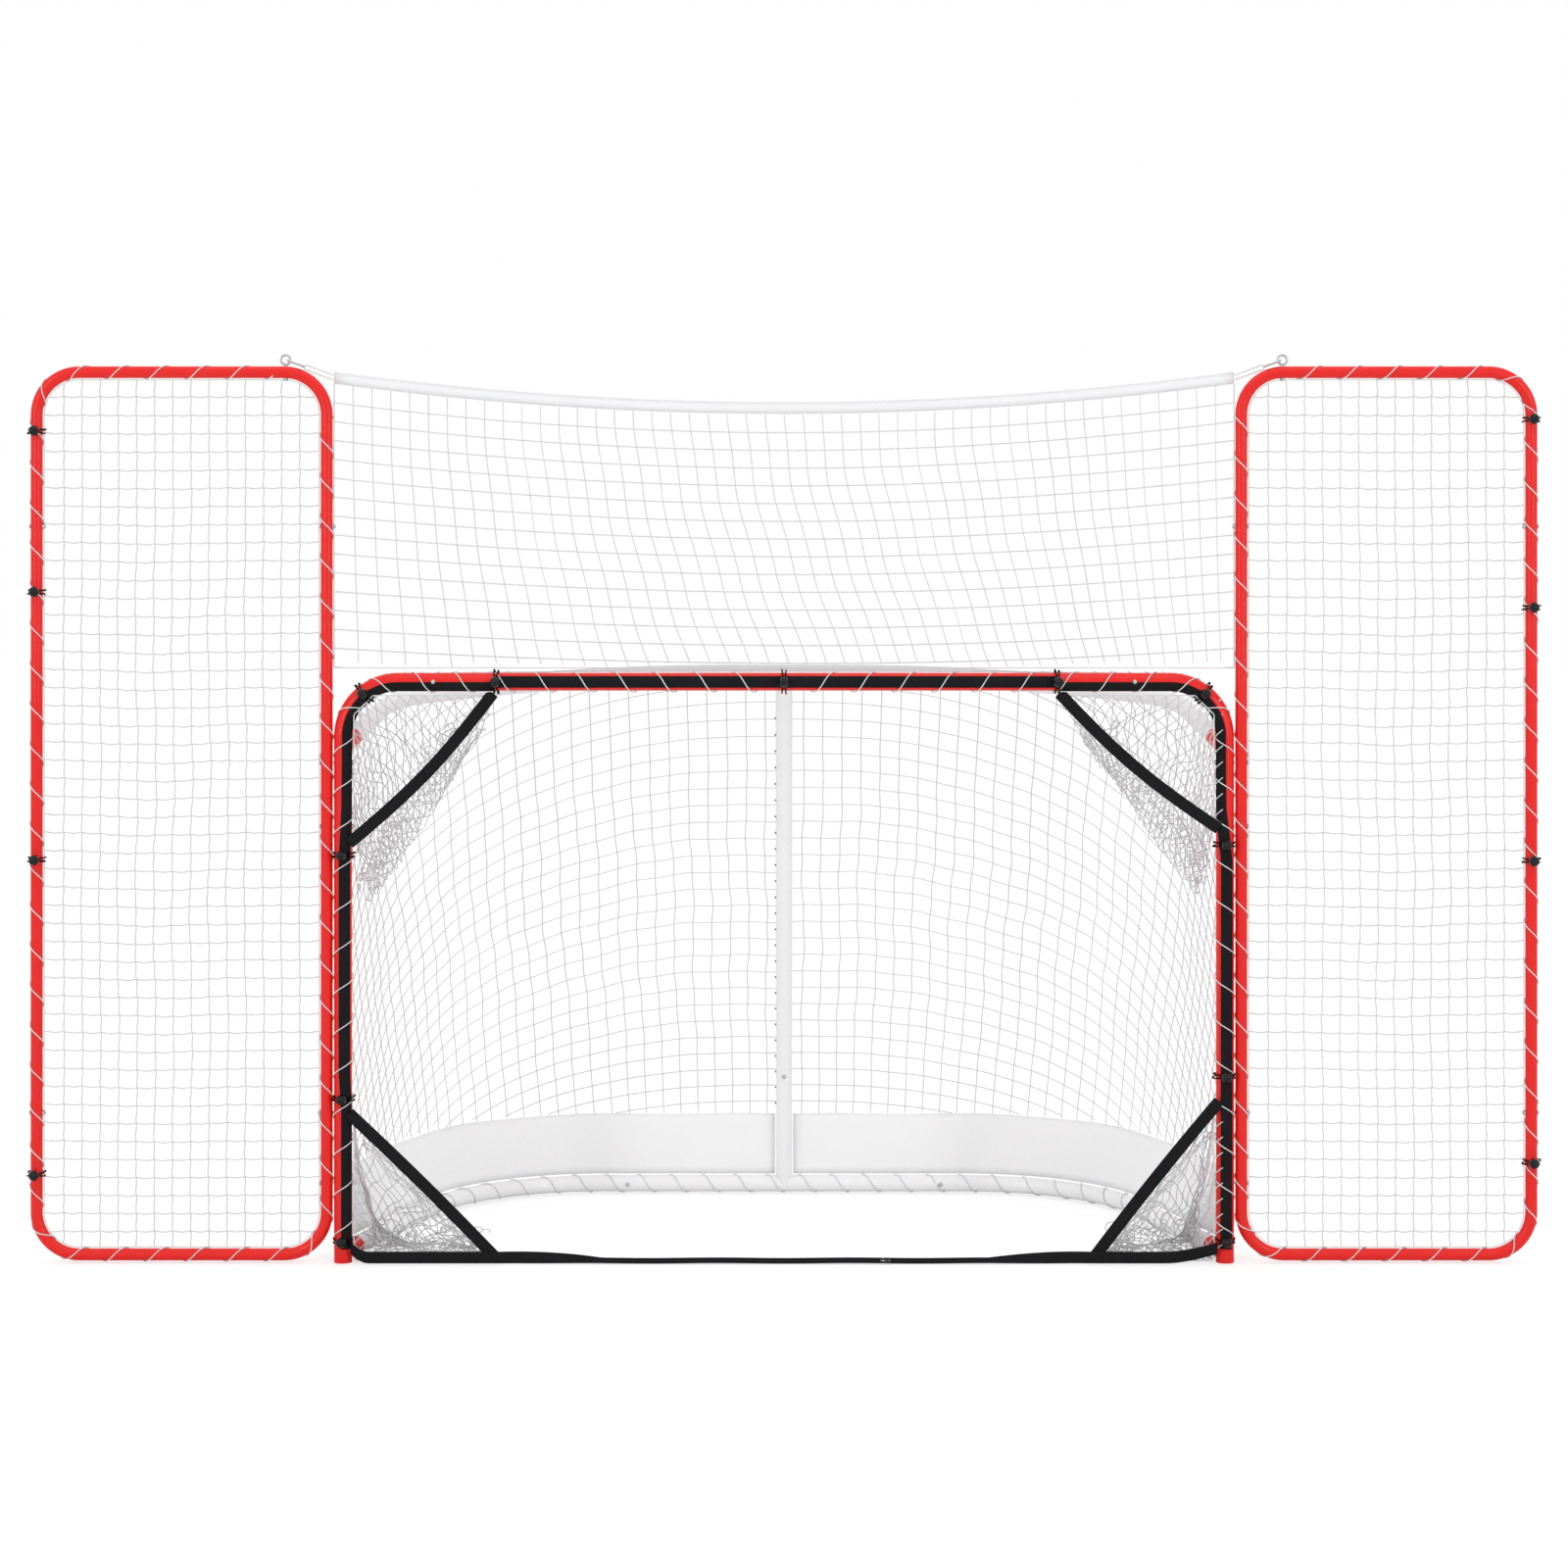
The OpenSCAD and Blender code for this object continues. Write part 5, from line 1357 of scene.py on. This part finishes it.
    def loop(self, at: tuple[float, float], axis: tuple[float, float], gap: int, goal: bool) -> list[Run]:
        """Two turns of elastic that cross at the front and the back of a tube.

        Args:
            at: Middle of the tube, across and up.
            axis: The tube's direction.
            gap: Side on which the turns squeeze between post and wing, or 0.
            goal: Whether the tube is one of the goal's.

        Returns:
            Two closed runs in metres.
        """
        runs: list[Run] = []
        side = Vector((axis[1], -axis[0]))
        wide = self.goal_loop if goal else self.wing_loop
        for slant in (-1, 1):
            run: Run = []
            for i in range(self.loop_points):
                w = i * math.tau / self.loop_points
                r = wide + (self.second_turn if slant > 0 else 0)
                if gap:
                    near = max(0.0, math.cos(w - (0 if gap > 0 else math.pi)))
                    r -= (r - self.squeezed) * min(1.0, near**3 * 1.2)
                lift = slant * self.cross * math.cos(w)
                p = Vector(at) + side * r * math.cos(w) + Vector(axis) * lift
                run.append(spot(p.x, -r * math.sin(w), p.y))
            runs.append(run)
        return runs


@dataclass
class Pocket:
    """A slack net bag behind one corner."""

    corner: Target
    depth: float = 165.0
    mesh: float = 31.0
    slant: float = 0.16
    loose: int = 70
    bar_end: float = 0.3
    post_start: float = 0.37
    post_end: float = 0.68
    inset: float = 6.0
    strand: float = 1.15
    knot: float = 1.9
    rope: float = 1.4
    stitch: float = 1.1
    stitch_pitch: float = 34.0
    stitch_edge: float = 26.0
    stitch_off: float = 2.6
    left_low: float = 742.0
    right_low: float = 760.0

    def mouth(self, t: float) -> Vector:
        """Place on the mouth of the bag.

        Args:
            t: Share of the way round it, from the bar's end.

        Returns:
            The place across and up, in millimetres.
        """
        c = self.corner
        a = Vector((SIZES.web_in - c.along, c.corner_z + c.dir * self.inset))
        corner = Vector((SIZES.web_in - self.inset, c.corner_z + c.dir * self.inset))
        b = Vector((SIZES.web_in - self.inset, c.corner_z + c.dir * c.up))
        cut = 40.0 if c.top else 6.0
        stations = [
            (0.0, a),
            (self.bar_end, corner - Vector((cut, 0))),
            (self.post_start, corner + Vector((0, c.dir * cut))),
            (self.post_end, b),
            (1.0, a),
        ]
        for (t0, p), (t1, q) in zip(stations, stations[1:]):
            if t <= t1:
                return p + (q - p) * (t - t0) / (t1 - t0)
        return a

    def seam(self, t: float) -> tuple[Vector, float]:
        """Place of the bag's lowest seam.

        Args:
            t: Share of the way round the mouth.

        Returns:
            The place across and up, and its depth, in millimetres.
        """
        c = self.corner
        f = 1 - t / self.post_end if t < self.post_end else (t - self.post_end) / (1 - self.post_end)
        if c.top:
            low = Vector((SIZES.web_in - 22, self.left_low if c.side < 0 else self.right_low))
            high = Vector((SIZES.web_in - c.along * 0.78, c.corner_z - c.up * 0.4))
            return low + (high - low) * f, 60 + (self.depth - 60) * math.sin(math.pi * (0.15 + 0.6 * f))
        low = Vector((SIZES.web_in - 30, 14.0))
        high = Vector((SIZES.web_in - c.along * 0.68, 8.0))
        return low + (high - low) * f, 40 + (self.depth - 60) * math.sin(math.pi * (0.25 + 0.5 * f))

    def place(self, t: float, v: float, rng: list[float]) -> Vector:
        """Place on the bag.

        Args:
            t: Share of the way round it.
            v: Share of the way from its mouth to its seam.
            rng: Six random phases of its folds.

        Returns:
            The place in metres.
        """
        t = t % 1.0
        m = self.mouth(t)
        q, deep = self.seam(t)
        c = self.corner
        fall = v if c.top else v**0.75
        x = m.x + (q.x - m.x) * v
        z = m.y + (q.y - m.y) * fall
        y = -16 + (deep + 16) * (1 - (1 - v) ** 1.8)
        loose = math.sin(math.pi * min(1.0, v * 1.15)) if v < 0.87 else 0.45
        x += loose * (7 * math.sin(19 * t + 5 * v + rng[0]) + 4 * math.sin(53 * t + 17 * v + rng[1]))
        y += loose * (9 * math.sin(23 * t + 7 * v + rng[2]) + 5 * math.sin(61 * t - 13 * v + rng[3]))
        z += loose * (7 * math.sin(17 * t - 9 * v + rng[4]) + 4 * math.sin(47 * t + 21 * v + rng[5]))
        return spot(c.side * min(x, SIZES.web_in + 8), y, max(z, 2.0))

    def heap(self, seed: random.Random) -> Vector:
        """Picks a place in the folds that gather at the bag's low end.

        Args:
            seed: Source of random numbers.

        Returns:
            The place across, behind and up, in millimetres.
        """
        c = self.corner
        f = seed.random() ** 0.8
        if c.top:
            q, deep = self.seam(self.post_end * (1 - f))
            across, behind = seed.uniform(8, 40), seed.uniform(0.3, 1.0)
            return Vector((q.x + across, deep * behind, q.y + seed.uniform(8, 70)))
        x = SIZES.web_in - 16 - (c.along * 0.86 - 16) * f
        room = c.up * (x - SIZES.web_in + c.along) / c.along
        return Vector((x, seed.uniform(0, 140), 4 + min(58.0, 0.6 * room) * seed.random() ** 1.5))

    def folds(self, seed: random.Random) -> list[Run]:
        """Loose cords of the folded mesh near the bag's low end.

        Args:
            seed: Source of random numbers.

        Returns:
            The cords' points, in metres.
        """
        c = self.corner
        runs: list[Run] = []
        for _ in range(self.loose):
            p, turn = self.heap(seed), seed.uniform(0, math.tau)
            run: Run = []
            for _ in range(9):
                turn += seed.uniform(0.1, 1.1)
                p = p + Vector((math.cos(turn) * 6, seed.uniform(-5, 5), math.sin(turn) * 5))
                run.append(spot(c.side * min(p.x, SIZES.web_in - 4), max(p.y, -8.0), max(p.z, 2.5)))
            runs.append(run)
        return runs

    def gathered(self, seed: random.Random) -> list[Run]:
        """Cords of a lower bag that are drawn together beside its diagonal.

        Args:
            seed: Source of random numbers.

        Returns:
            The cords' points, in metres.
        """
        c = self.corner
        runs: list[Run] = []
        low, high = Vector((SIZES.web_in - c.along, 6.0)), Vector((SIZES.web_in, c.up))
        along = (high - low).normalized()
        for k in range(5):
            phase = seed.uniform(0, math.tau)
            run: Run = []
            for f in spread(0.06, 0.86, 0.03):
                inset = 20 + 5 * k + 5 * math.sin(f * 23 + phase)
                p = low + (high - low) * f + Vector((along.y, -along.x)) * inset
                run.append(spot(c.side * p.x, -6 + 4 * k + 4 * math.sin(f * 31 + phase), max(p.y, 3.0)))
            runs.append(run)
        return runs

    def stitches(self) -> list[Run]:
        """Short loops that hold the mouth to the lacing over the post.

        Returns:
            The loops' points, in metres.
        """
        c = self.corner
        runs: list[Run] = []
        r = SIZES.tube_r + self.stitch_off
        for z in spread(self.stitch_edge, c.up - self.stitch_edge, self.stitch_pitch):
            arch = [math.radians(a) for a in (196, 214, 232, 250)]
            height = c.corner_z + c.dir * z
            runs.append([
                spot(c.side * (SIZES.post_x + r * math.cos(a)), r * math.sin(a), height + 5 * i)
                for i, a in enumerate(arch)
            ])
        return runs

    def build(self) -> None:
        """Weaves the bag with its knots, its folds and its mouth cord."""
        c = self.corner
        seed = random.Random(17 + len(c.name))
        rng = [seed.uniform(0, math.tau) for _ in range(6)]
        count = round((c.along + c.up + math.hypot(c.along, c.up)) / self.mesh)
        runs: list[Run] = []
        tied: list[Vector] = []
        for i in range(count):
            for hand in (-1, 1):
                turn = hand * self.slant
                runs.append([self.place(i / count + turn * v, v, rng) for v in spread(0, 1, 0.05)])
            fall = 2 * self.slant * count
            tied += [self.place((i + k / 2) / count, k / fall, rng) for k in range(1, int(fall) + 1)]
        runs += self.folds(seed)
        if not c.top:
            runs += self.gathered(seed)
        dress(cords(f"bag_{c.name}", runs, self.strand, 0), NETTING, f"pocket_{c.name}")
        dress(knots(f"bag_knots_{c.name}", tied, self.knot), NETTING)
        ring = [spot(c.side * p.x, -15, p.y) for p in (self.mouth(t) for t in spread(0, 0.995, 0.005))]
        dress(cords(f"bag_edge_{c.name}", [ring], self.rope, closed=True), CORD)
        if c.side > 0:
            dress(cords(f"bag_stitches_{c.name}", self.stitches(), self.stitch), CORD)


# ---------- bare tubes, floor, lights and camera ----------


@dataclass
class Hardware:
    """The rigid parts, which keep their own shapes."""

    def dress(self) -> None:
        """Gives every rigid node the finish of its slot."""
        for part in frame["record"]["subparts"]:
            obj = frame["nodes"].get(part["node"])
            finish = FINISHES.get(part["material_slot"])
            if obj is None or finish is None or finish.on_uv or obj.hide_render:
                continue
            mat = finish.material()
            if not obj.material_slots:
                obj.data.materials.append(mat)
            for place in obj.material_slots:
                place.material = mat


@dataclass
class Studio:
    """White studio with soft lamps and a level camera."""

    lens: float = 69.4
    distance: float = 6.4
    height: float = 1.38
    shift: float = -0.111
    ambient: float = 0.93
    floor_glow: float = 0.62
    floor_tone: tuple[float, float] = (0.86, 0.43)
    floor_size: float = 60.0
    floor_drop: float = 0.0015
    aim: float = 0.9
    side_lamp: tuple[float, float, float] = (4.2, -5.2, 2.6)
    side_size: tuple[float, float] = (0.5, 3.4)
    side_power: float = 45.0
    over_lamp: tuple[float, float, float] = (0, -1.5, 5.5)
    over_size: tuple[float, float] = (4.0, 4.0)
    over_power: float = 30.0

    def backdrop(self) -> None:
        """White surroundings for the eye and for gloss, and softer light for the rest."""
        world = bpy.data.worlds.new("studio")
        bpy.context.scene.world = world
        world.use_nodes = True
        nodes, links = world.node_tree.nodes, world.node_tree.links
        shade = nodes["Background"]
        path = nodes.new("ShaderNodeLightPath")
        seen = path.outputs["Is Camera Ray"]
        for ray in ("Is Glossy Ray", "Is Transmission Ray"):
            either = nodes.new("ShaderNodeMath")
            either.operation = "MAXIMUM"
            links.new(seen, either.inputs[0])
            links.new(path.outputs[ray], either.inputs[1])
            seen = either.outputs[0]
        level = nodes.new("ShaderNodeMapRange")
        level.inputs["To Min"].default_value = self.ambient
        level.inputs["To Max"].default_value = 1.0
        links.new(seen, level.inputs["Value"])
        links.new(level.outputs["Result"], shade.inputs["Strength"])
        shade.inputs["Color"].default_value = (1, 1, 1, 1)

    def floor(self) -> None:
        """A pale floor that looks white where nothing shades it."""
        mesh = bpy.data.meshes.new("floor")
        bm = bmesh.new()
        bmesh.ops.create_grid(bm, x_segments=1, y_segments=1, size=self.floor_size)
        bmesh.ops.translate(bm, verts=bm.verts, vec=(0, 0, -self.floor_drop))
        bm.to_mesh(mesh)
        bm.free()
        obj = link("floor", mesh)
        mat = bpy.data.materials.new("studio_floor")
        mat.use_nodes = True
        nodes, links = mat.node_tree.nodes, mat.node_tree.links
        shader = nodes["Principled BSDF"]
        shader.inputs["Roughness"].default_value = 0.9
        shader.inputs["Specular IOR Level"].default_value = 0.0
        path = nodes.new("ShaderNodeLightPath")
        glow = nodes.new("ShaderNodeMath")
        glow.operation = "MULTIPLY"
        glow.inputs[1].default_value = self.floor_glow
        links.new(path.outputs["Is Camera Ray"], glow.inputs[0])
        tone = nodes.new("ShaderNodeMapRange")
        tone.inputs["To Min"].default_value, tone.inputs["To Max"].default_value = self.floor_tone
        links.new(path.outputs["Is Camera Ray"], tone.inputs["Value"])
        links.new(tone.outputs["Result"], shader.inputs["Base Color"])
        links.new(glow.outputs[0], shader.inputs["Emission Strength"])
        shader.inputs["Emission Color"].default_value = (1, 1, 1, 1)
        obj.data.materials.append(mat)

    def lamp(
        self, name: str, place: tuple[float, float, float], size: tuple[float, float], power: float
    ) -> None:
        """Adds a soft lamp that faces the middle of the goal.

        Args:
            name: Name of the lamp.
            place: Where it stands, in metres.
            size: Its width and height, in metres.
            power: Its power in watts.
        """
        light = bpy.data.lights.new(name, "AREA")
        light.shape = "RECTANGLE"
        light.size, light.size_y = size
        light.energy = power
        obj = link(name, light)
        obj.location = place
        obj.rotation_euler = (Vector((0, 0, self.aim)) - Vector(place)).to_track_quat("-Z", "Y").to_euler()

    def camera(self) -> None:
        """A level camera in front of the goal."""
        data = bpy.data.cameras.new("camera")
        data.lens = self.lens
        data.sensor_width = 36
        data.shift_y = self.shift
        obj = link("camera", data)
        obj.location = (0, GOAL_LINE - self.distance, self.height)
        obj.rotation_euler = (math.pi / 2, 0, 0)
        bpy.context.scene.camera = obj

    def build(self) -> None:
        """Sets up the whole studio."""
        bpy.context.scene.view_settings.view_transform = "Standard"
        self.camera()
        self.backdrop()
        self.floor()
        x, y, z = self.side_lamp
        for name, side in SIDES.items():
            self.lamp(f"lamp_{name}", (side * x, y, z), self.side_size, self.side_power)
        self.lamp("lamp_over", self.over_lamp, self.over_size, self.over_power)


def main() -> None:
    """Builds the goal's soft parts and dresses the rest."""
    logging.basicConfig(level=logging.INFO, format="%(name)s: %(message)s")
    Studio().build()
    lacing = Lacing()
    lacing.wings()
    lacing.goal()
    lacing.skirt()
    WingNets().build()
    backstop = Backstop()
    backstop.net()
    backstop.strap()
    net = GoalNet()
    net.weave()
    net.skirts()
    net.post_ties()
    targets = Targets()
    targets.frame_webbing()
    targets.floor_webbing()
    targets.diagonals()
    targets.pockets()
    targets.ties()
    Hardware().dress()


if __name__ == "__main__":
    main()
